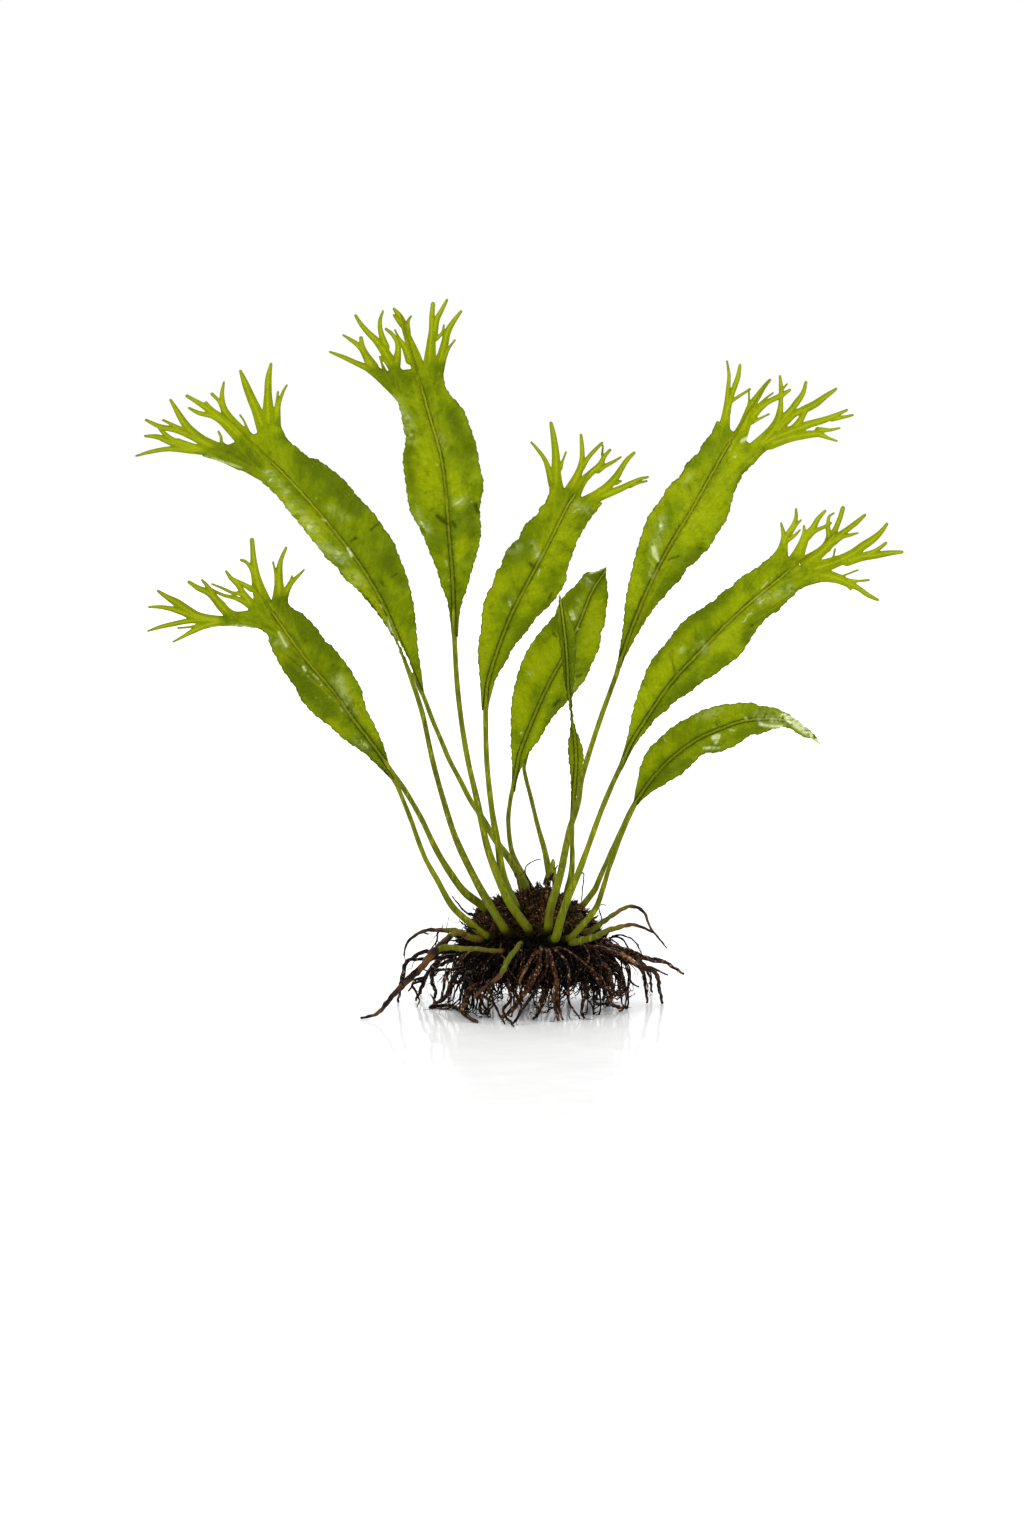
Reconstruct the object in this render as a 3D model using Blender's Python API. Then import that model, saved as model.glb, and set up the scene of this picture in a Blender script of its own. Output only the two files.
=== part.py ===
"""Java fern with crested, antler-tipped fronds, standing on its own roots.

A creeping rhizome carries thirteen fronds, each a round stipe and a flat blade. Below it hang a mat of
fine roots and the main roots, and old frond stubs and a young shoot stand around it.

The fronds are drawn on a flat sheet that faces a viewer, as a plant is pressed for a herbarium, and each
drawn point is then carried back or forward along that viewer's line of sight to its real depth.
Sheet points are pixels of the reference picture, a quarter of a millimetre each.
Every length below is in millimetres, unless its name says otherwise.
"""

import math

import bmesh
import bpy
import numpy as np
from mathutils import Vector
from mathutils.bvhtree import BVHTree
from mathutils.geometry import delaunay_2d_cdt

MM = 0.001

# The drawing sheet
PLANT_HEIGHT = 177.0
TOP_ROW_PX, FLOOR_ROW_PX = 300.0, 1008.0
MM_PER_PX = PLANT_HEIGHT / (FLOOR_ROW_PX - TOP_ROW_PX)
STEM_COLUMN_PX = 530.0
SHEET_CENTRE_PX = (512.0, 768.0)
VIEW_DISTANCE = 1200.0
VIEW_RISE = math.radians(7.0)

# Clearances and thicknesses
GAP = 0.3
EDGE_THICKNESS, MIDRIB_THICKNESS = 0.5, 1.3
SIMPLIFY = 0.16
SMALLEST_HOLE_AREA = 0.8
STIPE_RADII = (1.1, 0.7, 0.62)
STIPE_STEPS, STUB_STEPS, ROOT_STEPS = 11, 9, 7

# Rhizome and root mat
RHIZOME_BASE, RHIZOME_TOP = 17.3, 29.0
RHIZOME_HALF_LENGTH, RHIZOME_HALF_DEPTH = 17.0, 11.0
RHIZOME_CENTRE_X = 0.5
RHIZOME_SWELL = 1.5
MAT_TOP = 17.0
MAT_HALF_LENGTH, MAT_HALF_DEPTH = 22.0, 17.5
MAT_CENTRE_X = 1.5
MAT_PROFILE = ((0.0, 0.60), (2.5, 0.72), (6.0, 0.90), (10.5, 1.0), (14.5, 0.96), (MAT_TOP, 0.84))

GREEN, YOUNG_GREEN = (0.17, 0.27, 0.01), (0.26, 0.36, 0.02)
STIPE_GREEN, STUB_GREEN = (0.16, 0.22, 0.02), (0.14, 0.15, 0.02)
BARK_BROWN, ROOT_BROWN, MAT_BROWN = (0.045, 0.022, 0.010), (0.06, 0.025, 0.012), (0.012, 0.007, 0.004)

# A frond: "stipe" and "midrib" are sheet column, sheet row and depth, from the base outwards, and depth
# is measured away from the viewer. "left" and "right" are the blade's margins, and each line of
# "fingers" is one finger of the crest, as column, row and width. "tilt" turns the blade about its midrib,
# "fold" lifts both its margins, and "curl" and "ripple" carry the crest's fingers off the blade's surface.
# "girth" is a slender stipe's share of the usual thickness.
FRONDS = {
    "high_left": {
        "girth": 0.9,
        "stipe": "526,888,3 516.5,871,3.7 508,857,4.3 494.5,839,5 483.6,820,5.6 470.3,800,6.2 460,780,7"
        " 449.4,760,8 441,740,8.6 432.5,720,9.2 425,700,9.8 423,695,10",
        "midrib": "422,694,10 404,655,12 384,607,15 356,556,19 322,510,24 288,476,29 272,462,32",
        "left": "421,694 413,672 404,650 390,628 375,605 361,592 345,578 326,560 312,541 300,527 280,500"
        " 264,486 250,475 235,467 220,460 200,455",
        "right": "425,694 420,668 418,645 416,618 408,580 398,556 391,540 379,520 362,500 345,480 330,468"
        " 308,457 293,446 284,434 279,420",
        "fingers": [
            "258,465,22 225,452,15 195,447,12 170,449,6 150,451.5,3.5 137,456,1",
            "188,446,7 165,437.5,5 145,436.5,2",
            "190,446,5 172,436,4 158,427,5 146,420,1",
            "236,456,14 212,445,10 193,431,10 183,418,6 171,400,1.5",
            "195,434,7 176,428.5,4.5 160,426,4",
            "180,429,4 172,424,3 163,420,1.2",
            "262,470,20 242,446,13 226,428,10 213,416,8 203,405,7 187,396,1.8",
            "216,419,6 201,413,4 188,408,1.2",
            "236,434,10 226,416,8 222,403,5 222,393,4 224.5,383,1",
            "222,403,4 216,397,3 211,393,1.6",
            "251,438,5 245.5,428,2.4 243,420,1.6 239,415,1",
            "272,460,26 262,435,18 257,415,11 250,398,7.5 244,382,5.5 241.5,372,1.8",
            "270,440,14 267,412,9 268,388,5.5 271,366,1.8",
            "277,440,12 276,415,7 279,401,4 288,386,1",
        ],
        "tilt": 0.30, "fold": 0.10, "curl": 0.20, "ripple": 0.13,
    },
    "high_left_young": {
        "stipe": "505,930,-13 488,902,-9 475.6,880,-5.5 456.4,840,0 443.4,800,5 432.5,760,9 424,720,12"
        " 418.4,700,13.5 412.3,682,14.8",
        "midrib": "411.8,679,15 400,650,17 389,628,19 375,606,21 355,577,24 336,549,28 322,528,31",
        "left": "410,680 406.5,670 402.7,660 399,650 395,640 391,634 378,614 358,590 340,566 327,542"
        " 322,528",
        "right": "414,679 404,655 392,630 376,604 360,580 344,554 322,528",
        "fingers": [],
        "tilt": 0.30, "fold": 0.10, "curl": 0, "ripple": 0,
    },
    "low_left": {
        "stipe": "483,906,-5 464.5,892,-7 450.3,873,-9 436.4,850,-11 421,818,-13 406,792,-14"
        " 396.5,778,-15",
        "midrib": "394,775,-15 372,745,-17 345,708,-21 318,674,-25 290,638,-30 272,612,-34",
        "left": "393,777 382,766 370,757 350,745 332,728 318,717 305,705 298,692 290,683 283,672 281,664"
        " 272,650 270,640 264,631 250,626 235,624 220,624",
        "right": "396,775 390,765 385,752 381,740 374,722 367,712 363,695 358,682 350,668 338,653 332,646"
        " 325,643 320,634 310,620 300,612 290,608 287,600",
        "fingers": [
            "275,622,20 250,617,13 225,618,10 205,617,9 190,614,9 177,605,8 169,597,5.5 158,590,1.6",
            "190,613,7 172,609,4.5 149,606,1.6",
            "222,621,8 205,622,9 190,623,6 170,625,4 149,631,1.2",
            "206,625,8 194,630,6 185,636,3 173,642,1",
            "200,626,4 190,627.5,2.5 178,628,1",
            "262,618,16 240,611,10 225,598,8 213,587,5 203,580,1.2",
            "220,595,7 205,587,5.5 189,582,1.6",
            "262,612,14 250,602,10 238,594,7 225,589,3 212,584,1.2",
            "240,596,4 228,595,3 218,591,1.2",
            "264,604,14 252,591,9 241,583,6 232,579,4 225.5,571,1.4",
            "264,610,22 257,583,11 254,562,6 252,541,3.6",
            "254,572,5 248,564,4 241,559,1.6",
            "280,606,20 278,585,9 279,568,5 283,555,4 287,548,1.6",
            "277,575,4 274,562,1.4",
            "284,604,12 286,591,8 294,581,5.5 304,570,1.2",
            "289,588,4 292,576,1.2",
        ],
        "tilt": -0.32, "fold": 0.10, "curl": -0.22, "ripple": 0.14,
    },
    "low_left_young": {
        "girth": 0.9,
        "stipe": "484,935,-11 471,924,-11 452,906,-11 437.3,880,-10.6 426,860,-10.2 418,840,-9.8"
        " 411,820,-9.5 397,785,-9",
        "midrib": "393.5,779,-9 381,763,-9.5 366,744,-11 352,725,-13 338,706,-15.5 326,690,-18",
        "left": "392,780 378,766 362,750 346,728 334,708 326,690",
        "right": "395,778 385,761 373,742 360,722 346,703 326,690",
        "fingers": [],
        "tilt": -0.3, "fold": 0.10, "curl": 0, "ripple": 0,
    },
    "top": {
        "stipe": "529,930,-14 521,919,-14 509,902,-13 499,880,-11 491.5,860,-9 485.5,840,-7.3"
        " 477,800,-4.2 467.8,760,-1.8 461.2,720,0.2 456.8,680,1.9 454.5,639,3.5",
        "midrib": "455,635,3.5 452,590,5 448,545,7 445,500,8.5 439,455,10 431,420,11.5 421,385,13",
        "left": "452,635 447,605 440,583 437,570 428,550 420,530 410,512 407,495 404,472 403,458 406,440"
        " 402,422 398,405 395,395 385,386 375,377 365,370",
        "right": "458,635 462,608 469,585 472,570 477,550 481,528 480,510 483,490 482,475 478,462 477,448"
        " 473,432 468,418 461,406 450,395 445,385 442,372 443,362",
        "fingers": [
            "420,402,30 400,386,16 384,373,11 370,363,9 358,361,6.5 345,357,5 329,352,1.8",
            "374,367,8 365,351,7 361,337,3",
            "367,352,5 356,341,4.5 343,335,1",
            "392,378,5 384,366,3.5 380,357,1.2",
            "422,400,20 405,378,14 393,358,12 384,343,8 376,337,6 365,328,5 355,315,1.8",
            "385,346,7 380,330,4.5 379,320,4 384,311,1.4",
            "415,388,16 403,364,13 397,346,8 394,335,5 386,329,1.6",
            "400,350,4 398,342,3 395,330,1.2",
            "423,392,18 412,358,10 407,335,7 404,324,5.5 395,310,2.4",
            "408,334,5.5 409,322,3.5 411,315,1",
            "432,388,22 431,355,10 432,335,6.5 434,320,6 433,303,3.4",
            "434,328,5 440,312,3.6 447,300,1.6",
            "439,380,16 441,355,9 445,338,6 450,325,5 461,311,1.6",
            "436,345,4.5 441,336,4 444,325,1.2",
            "442,360,6 448,349,3 455,340,1.4",
        ],
        "tilt": 0.26, "fold": 0.12, "curl": -0.16, "ripple": 0.15,
    },
    "middle": {
        "stipe": "515,905,-9 509,892,-7.5 501.7,870,-6.5 498,845,-6.5 491.9,810,-8 486.7,760,-11"
        " 485.5,709,-13",
        "midrib": "485,705,-13 497,658,-15 518,606,-18 540,562,-21 560,525,-23.5 575,494,-26",
        "left": "482.5,705 480,685 478,665 478,650 480,635 481,620 483,605 489,590 493,578 497,568 501,560"
        " 505,548 512,541 520,536 527,524 532,518 537,515 543,505 548,496 550,485",
        "right": "489,705 493,685 500,670 507,660 512,650 520,640 530,625 537,615 548,606 558,592 566,575"
        " 569,562 573,552 577,540 585,528 592,514 600,505 603,502",
        "fingers": [
            "560,508,26 556,485,14 555,465,9 554,445,5.5 552,423,3",
            "553,474,8 546,458,5 540,450,3.5 531,442,1.2",
            "560,472,5 562,462,2.6 567,452,1",
            "570,500,24 575,480,13 579,465,7 582,448,4.5 580.5,435,1.8",
            "581,472,6 588,459,4.5 596,450,3.5 603,443,2.4",
            "575,494,16 588,475,8 596,465,7 602,456,4 610,450,1.6",
            "598,464,4 602,450,2.4 604,444,1",
            "594,471,6 605,465,4 613,461,3 621,457,1.2",
            "582,500,18 600,494,11 612,484,9 618,472,6 625,462,5 635,453,2.4",
            "600,498,9 620,489,5 632,483.5,4.5 648,477,1.4",
            "630,485.5,3.4 648,482,1.2",
        ],
        "tilt": -0.28, "fold": 0.12, "curl": -0.18, "ripple": 0.14,
    },
    "middle_plain": {
        "girth": 0.85,
        "stipe": "533,892,6 522,873,8 512,852,9.5 508.3,822,10.6 510.4,800,11.2 512.4,790,11.5",
        "midrib": "512.8,788,11.5 517,768,12 530,727,12.5 551,680,14.5 575,632,18 592,592,22 607,569,27",
        "left": "510,788 511.5,768 511,745 510,728 511,705 516,682 524,660 535,640 548,624 556,613"
        " 562,602 572,590 580,582 584,576 590,573 607,569",
        "right": "515.5,788 521,768 530,752 540,740 548,724 560,708 570,698 577,688 585,678 593,660"
        " 600,642 602,630 606,615 607,602 608,590 607,569",
        "fingers": [],
        "tilt": 0.28, "fold": 0.14, "curl": 0, "ripple": 0,
    },
    "middle_young": {
        "girth": 0.8,
        "stipe": "549,874,9 545,852,11 537.5,825,13.5 531.5,800,15.5 526.3,780,17 523.8,768,17.5",
        "midrib": "524,766,17.8 528,750,19 538,722,21.5 552,690,24 566,660,27 580,635,30",
        "left": "522.5,767 526,748 535,722 549,690 564,660 580,635",
        "right": "525.5,767 530,750 541,724 556,692 569,664 580,635",
        "fingers": [],
        "tilt": 0.25, "fold": 0.12, "curl": 0, "ripple": 0,
    },
    "twisted": {
        "girth": 0.85,
        "stipe": "567,893,5 571.5,872,5.5 572.3,855,6 572,840,6.3 572.3,828,6.5 572,818,6.6",
        "midrib": "572.3,812,6.8 573.5,790,7 575.5,765,7.5 575,745,7.1 571.7,718,5.9 568,690,5.4"
        " 566,650,5 562,615,5.8 559,593,7",
        "left": "570.5,812 571,782 568.5,757 568,745 570,732 569.5,719 568,700 566,685 563,670 561,650"
        " 558.5,628 559,610 559,593",
        "right": "574,812 578,790 583,756 581,742 575,728 572.5,719 572,700 574,685 575,665 575,640"
        " 571,622 565,606 559,593",
        "fingers": [],
        "tilt": -0.55, "fold": 0.2, "curl": 0, "ripple": 0,
    },
    "high_right": {
        "stipe": "548,929,-13.5 550,910,-12.8 557.5,885,-10.5 561.4,870,-8.7 567.3,840,-5.5 570,828,-4.6"
        " 574.7,814,-3.5 578.7,800,-2.5 581.5,780,-1.2 587,760,0.3 600,720,2.7 617,673,5.5",
        "midrib": "617,670,6 637,618,9 658,565,13 680,525,17 702,487,21.5 722,455,25.5 730,442,27.5",
        "left": "615,669 620,645 623,620 625,595 629,575 635,555 640,538 647,520 654,508 661,500 667,488"
        " 676,479 681,474 687,462 695,456 700,447 708,440 712,432 716,420",
        "right": "619,670 628,650 634,640 643,622 652,608 660,600 669,590 679,581 686,570 697,560 708,550"
        " 713,540 722,528 727,518 731,502 738,485 744,475 752,465 763,451",
        "fingers": [
            "727,440,22 726,418,9.5 728,400,7 729,385,5 727.5,361,1.8",
            "729,397,5 734,381,5.5 739.5,365,3",
            "727,405,5 738,397,3.6 750,389,2.2",
            "738,445,22 745,425,12 750,408,9 758,394,6 770,379,1.8",
            "750,418,7 761,403,6.5 775,395,6 790,390,1.6",
            "756,405,2.4 763,398,1.6 772,392,1",
            "753,421,4 763,416,2 769,414,1",
            "745,452,20 762,439,13 775,427,9 779,408,4.5 780.5,392,5 780,377,1.4",
            "768,440,14 785,420,8 794,408,8.5 801,396,5 806,382,2.2",
            "768,443,14 795,427,10 807,412,8.5 819,402,6 836,388,2.2",
            "795,411,6 806,411,6",
            "770,442,14 800,430,15 825,418,7.5 838,413.5,5 847,410,1.6",
            "833,416.5,5 845,416,3.4 853,415,1.2",
            "795,434,12 820,430,6.5 840,428,1.8",
            "780,439,10 812,435,7 838,441,1.8",
        ],
        "tilt": -0.30, "fold": 0.12, "curl": 0.18, "ripple": 0.14,
    },
    "low_right": {
        "stipe": "556,938,-16.5 560,922,-16.8 567,900,-16.5 578,874,-16 587,850,-15.5 600,814,-15.5"
        " 612,785,-16 623,762,-16.5",
        "midrib": "625,758,-16.7 645,725,-17.5 675,680,-19.5 715,636,-23 755,598,-27.5 790,570,-32",
        "left": "621.5,758 625,742 630,718 634,702 641,684 650,665 660,651 668,642 676,633 685,621 697,611"
        " 705,606 714,601 722,592 730,588 740,578 752,570 765,560 773,552 779,541",
        "right": "628,758 636,745 645,735 656,718 668,706 680,698 692,690 700,684 712,678 720,671 733,663"
        " 742,652 750,640 760,624 768,615 778,610 788,601 800,591 812,584 822,582",
        "fingers": [
            "785,562,20 783.5,545,9.5 785,533,8 791,523,5 797,509,1.4",
            "783.5,536,5 781,522,1",
            "790,527,4 800,520,1.2",
            "787,542,6 795,536,3.5 801,529,1",
            "795,564,20 802,544,10 812,527,7 818,517,5 825,510,2.6",
            "806,535,6 820,528,4 831,522,1.6",
            "803,540,4 804,527,1.6",
            "805,568,22 825,546,11 829,533,6.5 828.5,520,3 834,513,1",
            "822,551,12 837,537,8 838,524,5.5 843,508,3.6",
            "828,547,9 845,531,6 855,522,4.5 866,515,1.8",
            "840,541,5.5 851,534.5,3.6 859,533,1.2",
            "812,574,24 840,563,13 862,547,9 872,537,7 887,523,1.8",
            "848,560,11 875,555,7 902,552,2.6",
            "866,553,6 878,548,3.5 887,543,1.8",
            "834,561,3 836,548,1",
            "803,580,14 830,578.5,13 847,582,8 862,591,5 878,600,1.6",
            "846,581,5 858,580,2.6 869,580,1.4",
            "843,585,5 851,590.5,1.2",
        ],
        "tilt": 0.34, "fold": 0.10, "curl": -0.16, "ripple": 0.13,
    },
    "low_right_plain": {
        "girth": 0.8,
        "stipe": "571,938,-15 578,930,-14.5 594.7,910,-13 602.5,890,-12.1 608.5,870,-11.3 616,850,-11"
        " 619.5,840,-10.8 627,822,-10.5 633.5,808,-10",
        "midrib": "637.5,801,-10 650,782,-10.5 665,765,-12 682,750,-13.5 700,738,-16 718,730,-19"
        " 740,722,-22 762,719,-25.5 782,720,-29 800,728,-32 823,746,-35",
        "left": "634.5,801 637,785 640,765 648,750 660,740 670,730 685,721 700,712 715,707 735,703 752,703"
        " 762,706 775,708 788,713 798,720 808,728 823,746",
        "right": "641,802 648,795 660,789 672,780 685,773 697,760 705,754 718,752 730,748 742,743 752,736"
        " 765,733 778,728 790,729 802,736 823,746",
        "fingers": [],
        "tilt": 0.42, "fold": 0.12, "curl": 0, "ripple": 0,
    },
    "low_right_young": {
        "girth": 0.8,
        "stipe": "584,904,4 594.5,890,5 598.9,880,5.5 607.5,860,6.5 611.8,850,7 622,828,8 627,817,8.4"
        " 631.5,808,8.6",
        "midrib": "632.5,806,8.7 639,796,9.2 651,781,10.6 667,767,12.5 688,752,16 712,742,20",
        "left": "631.7,806 637.5,793 641.5,779 650,764 666,750 688,742 712,742",
        "right": "634.5,806 645,794 659,783 676,772 694,758 712,742",
        "fingers": [],
        "tilt": 0.3, "fold": 0.12, "curl": 0, "ripple": 0,
    },
}

# Old frond stubs and the young shoot: column, row and depth, with F for a point on the floor, then the
# radius at the base, half way and at the tip.
STUBS = {
    "stub_left_upper": (
        "472,938,-13 456,931,-16 437,930,-17 421,932,-17 407,943,-17 404,956,-17", 1.1, 0.7, 0.25,
    ),
    "stub_left_long": (
        "498,951,-19 472,949,-22 437,949,-23 422,967,-23 395,993,-20 378,1013,-18 361,1018,F", 1.05, 1.2, 0.4,
    ),
    "stub_front": ("518,946,-20 507,962,-23 498,978,-25 483,989,-26 474,998,-27", 0.7, 0.95, 0.45),
    "stub_right_upper": (
        "592,930,-12 610,917,-13 630,906,-14 644,913,-15 652,930,-16 667,948,-17", 0.9, 0.65, 0.25,
    ),
    "stub_right_lower": (
        "576,942,-18 596,936,-20 612,929,-21 634,925,-22 652,932,-23 664,944,-24", 1.0, 0.95, 0.25,
    ),
    "stub_short": ("522,895,-2 519,884,-1.5 515,873,-1", 0.6, 0.5, 0.35),
    "young_shoot": ("556,886,3 553,872,2.5 553,859,2", 0.8, 1.0, 0.45),
}

# The main roots, given as the stubs are.
ROOTS = (
    ("539,968,-20 528,989,-21 511,1010,-20 502,1019,F", 0.8, 0.65, 0.4),
    ("512,990,-19 522,1006,-24 513,1024,F", 0.6, 0.5, 0.3),
    ("470,990,-15 463,1012,-19 478,1022,F", 0.7, 0.6, 0.35),
    ("455,975,-14 447,995,-9 432,1006,F", 0.7, 0.6, 0.35),
    ("442,958,-8 431,972,-7 435,991,-2 434,1004,F", 0.6, 0.5, 0.3),
    ("444,952,-2 421,953,-2 405,965,0 401,984,3 398,1002,F", 0.6, 0.5, 0.3),
    ("446,962,5 427,974,7 419,993,8 416,1001,F", 0.55, 0.5, 0.3),
    ("543,990,-17 541,1008,-19 533,1020,F", 0.6, 0.5, 0.3),
    ("556,985,-18 555,1008,-20 559,1021,F", 0.75, 0.6, 0.35),
    ("588,985,-15 582,1006,-17 584,1019,F", 0.6, 0.5, 0.3),
    ("607,968,-12 612,989,-9 610,1003,-6 622,1008,F", 0.75, 0.65, 0.35),
    ("617,952,-7 638,966,-6 655,972,-3 662,1003,F", 0.75, 0.65, 0.35),
    ("616,947,-1 643,957,-2 664,962,-3 684,974,-4", 0.8, 0.65, 0.3),
    ("628,950,2 638,961,3 645,981,4 647,1003,F", 0.65, 0.5, 0.3),
    ("612,954,9 634,957,12 648,972,18 652,992,F", 0.6, 0.5, 0.3),
    ("600,958,14 616,966,17 624,983,20 626,993,F", 0.65, 0.55, 0.3),
    ("580,960,17 588,970,21 592,984,24 598,990,F", 0.65, 0.55, 0.3),
    ("556,960,18 558,970,23 554,982,27 552,988,F", 0.7, 0.55, 0.3),
    ("528,960,18 522,970,23 526,983,26 520,989,F", 0.65, 0.55, 0.3),
    ("500,960,17 490,970,20 482,984,23 476,991,F", 0.65, 0.55, 0.3),
    ("474,958,14 460,968,17 452,984,20 446,993,F", 0.65, 0.55, 0.3),
    ("456,954,9 438,960,13 426,978,17 420,994,F", 0.6, 0.5, 0.3),
)


def numbers(text):
    """'1,2 3,4' as rows of numbers; a point marked F gets a depth of None."""
    rows = [point.split(",") for point in text.split()]
    return [[None if n == "F" else float(n) for n in row] for row in rows]


def sheet_frame():
    """The viewer's eye, the sheet's centre and its upward direction."""
    toward = Vector((0.0, -math.cos(VIEW_RISE), math.sin(VIEW_RISE)))
    up = Vector((0.0, math.sin(VIEW_RISE), math.cos(VIEW_RISE)))
    across = (SHEET_CENTRE_PX[0] - STEM_COLUMN_PX) * MM_PER_PX
    drop = (FLOOR_ROW_PX - SHEET_CENTRE_PX[1]) * MM_PER_PX
    # The line of sight through the floor row meets the floor at depth 0 when the centre is this high.
    reach = VIEW_DISTANCE * math.cos(VIEW_RISE)
    share = reach / (reach - drop * math.sin(VIEW_RISE))
    rise = VIEW_DISTANCE * math.sin(VIEW_RISE)
    height = share * (rise + drop * math.cos(VIEW_RISE)) - rise
    centre = Vector((across, 0.0, height))
    return centre + toward * VIEW_DISTANCE, centre, up


EYE, SHEET_CENTRE, SHEET_UP = sheet_frame()


def on_sheet(column, row):
    """Sheet position in millimetres, from the sheet's centre."""
    return Vector(((column - SHEET_CENTRE_PX[0]) * MM_PER_PX, (SHEET_CENTRE_PX[1] - row) * MM_PER_PX))


def at_depth(flat, depth):
    """The point that lies at this depth behind a sheet position."""
    drawn = SHEET_CENTRE + Vector((flat[0], 0.0, 0.0)) + SHEET_UP * flat[1]
    sight = drawn - EYE
    return EYE + sight * ((depth - EYE.y) / sight.y)


def on_floor(flat, height):
    """The point at this height above the floor behind a sheet position."""
    drawn = SHEET_CENTRE + Vector((flat[0], 0.0, 0.0)) + SHEET_UP * flat[1]
    sight = drawn - EYE
    return EYE + sight * ((height - EYE.z) / sight.z)


def smooth_path(points, steps):
    """Evenly spread points on a Catmull-Rom curve through the given ones."""
    ends = [points[0] * 2 - points[1], *points, points[-1] * 2 - points[-2]]
    fine = []
    for a, b, c, d in zip(ends, ends[1:], ends[2:], ends[3:]):
        for k in range(16):
            t = k / 16
            bend, twist = a * 2 - b * 5 + c * 4 - d, b * 3 - a - c * 3 + d
            fine.append((b * 2 + (c - a) * t + bend * t**2 + twist * t**3) / 2)
    fine.append(points[-1])
    lengths = np.cumsum([0.0] + [(q - p).length for p, q in zip(fine, fine[1:])])
    wanted = np.linspace(0.0, lengths[-1], steps + 1)
    return [Vector([np.interp(w, lengths, [p[axis] for p in fine]) for axis in range(3)]) for w in wanted]


def material(name, colour, roughness):
    made = bpy.data.materials.new(name)
    made.use_nodes = True
    shader = made.node_tree.nodes["Principled BSDF"]
    shader.inputs["Base Color"].default_value = (*colour, 1.0)
    shader.inputs["Roughness"].default_value = roughness
    shader.inputs["Metallic"].default_value = 0.0
    return made


def add_object(name, data, finish):
    obj = bpy.data.objects.new(name, data)
    data.materials.append(finish)
    bpy.context.scene.collection.objects.link(obj)
    return obj


def add_mesh(name, points, faces, finish):
    """A closed mesh, from points in millimetres, with its faces turned outwards."""
    mesh = bpy.data.meshes.new(name)
    mesh.from_pydata([tuple(p * MM for p in point) for point in points], [], faces)
    shaped = bmesh.new()
    shaped.from_mesh(mesh)
    bmesh.ops.recalc_face_normals(shaped, faces=shaped.faces)
    shaped.to_mesh(mesh)
    shaped.free()
    return add_object(name, mesh, finish)


def add_tube(name, points, radii, sides, finish):
    """A tapering round stem along the points, as a curve with a bevel and filled ends."""
    curve = bpy.data.curves.new(name, "CURVE")
    curve.dimensions = "3D"
    curve.bevel_depth = MM
    curve.bevel_resolution = (sides - 4) // 2
    curve.use_fill_caps = True
    curve.twist_mode = "MINIMUM"
    line = curve.splines.new("POLY")
    line.points.add(len(points) - 1)
    for knot, point, radius in zip(line.points, points, radii):
        knot.co = (*(point * MM), 1.0)
        knot.radius = radius
    return add_object(name, curve, finish)


def lumps(angle, height, strength):
    """A smooth bumpy factor around 1 for the rhizome and the root mat."""
    waves = math.sin(5 * angle + 0.5 * height) + 0.7 * math.sin(8 * angle - 0.9 * height + 1.3)
    return 1 + strength * (waves + 0.6 * math.sin(13 * angle + 1.7 * height + 0.4))


def ring_solid(name, rings, finish):
    """A closed body from rings of equal count, one above the other, with a flat end at both."""
    count = len(rings[0])
    points = [point for ring in rings for point in ring]
    faces = [list(range(count)), list(range(len(points) - count, len(points)))]
    for level in range(len(rings) - 1):
        low = level * count
        for k in range(count):
            after = (k + 1) % count
            faces.append([low + k, low + after, low + count + after, low + count + k])
    return add_mesh(name, points, faces, finish)


def root_mat(finish):
    """The felt of fine roots: a ridged skirt below the rhizome, flat where it stands."""
    count, rings = 36, []
    for height, share in MAT_PROFILE:
        ring = []
        for k in range(count):
            angle = 2 * math.pi * k / count
            reach = share * lumps(angle, 0.15 * height, 0.055)
            x = MAT_CENTRE_X + MAT_HALF_LENGTH * reach * math.cos(angle)
            ring.append(Vector((x, MAT_HALF_DEPTH * reach * math.sin(angle), height)))
        rings.append(ring)
    return ring_solid("root_mat", rings, finish)


def rhizome(finish):
    """The creeping stem with its old scale-clad bases: a lumpy mound with a flat underside."""
    count, levels, rings = 32, 8, []
    for level in range(levels):
        rise = math.radians(84) * level / (levels - 1)
        ring = []
        for k in range(count):
            angle = 2 * math.pi * k / count
            reach = math.cos(rise) * lumps(angle, 2.2 * rise, 0.07)
            x = RHIZOME_CENTRE_X + RHIZOME_HALF_LENGTH * reach * math.cos(angle)
            y = RHIZOME_HALF_DEPTH * reach * math.sin(angle)
            z = RHIZOME_BASE + (RHIZOME_TOP - RHIZOME_BASE) * math.sin(rise)
            swell = RHIZOME_SWELL * math.sin(0.55 * x) * math.cos(0.6 * y) if level else 0.0
            ring.append(Vector((x, y, z + swell)))
        rings.append(ring)
    return ring_solid("rhizome", rings, finish)


class Clump:
    """The rhizome and root mat as one surface, to seat the stems on."""

    def __init__(self, objects):
        points, faces = [], []
        for obj in objects:
            first = len(points)
            points += [vertex.co / MM for vertex in obj.data.vertices]
            faces += [[first + index for index in polygon.vertices] for polygon in obj.data.polygons]
        self.tree = BVHTree.FromPolygons(points, faces)

    def clear(self, point, distance):
        """The point itself, or the nearest one that is this far outside the surface."""
        for _ in range(3):
            near, normal, _, away = self.tree.find_nearest(point)
            inside = (point - near).dot(normal) < 0
            if not inside and away >= distance:
                break
            point = near + normal * (distance + 0.02)
        return point


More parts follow.
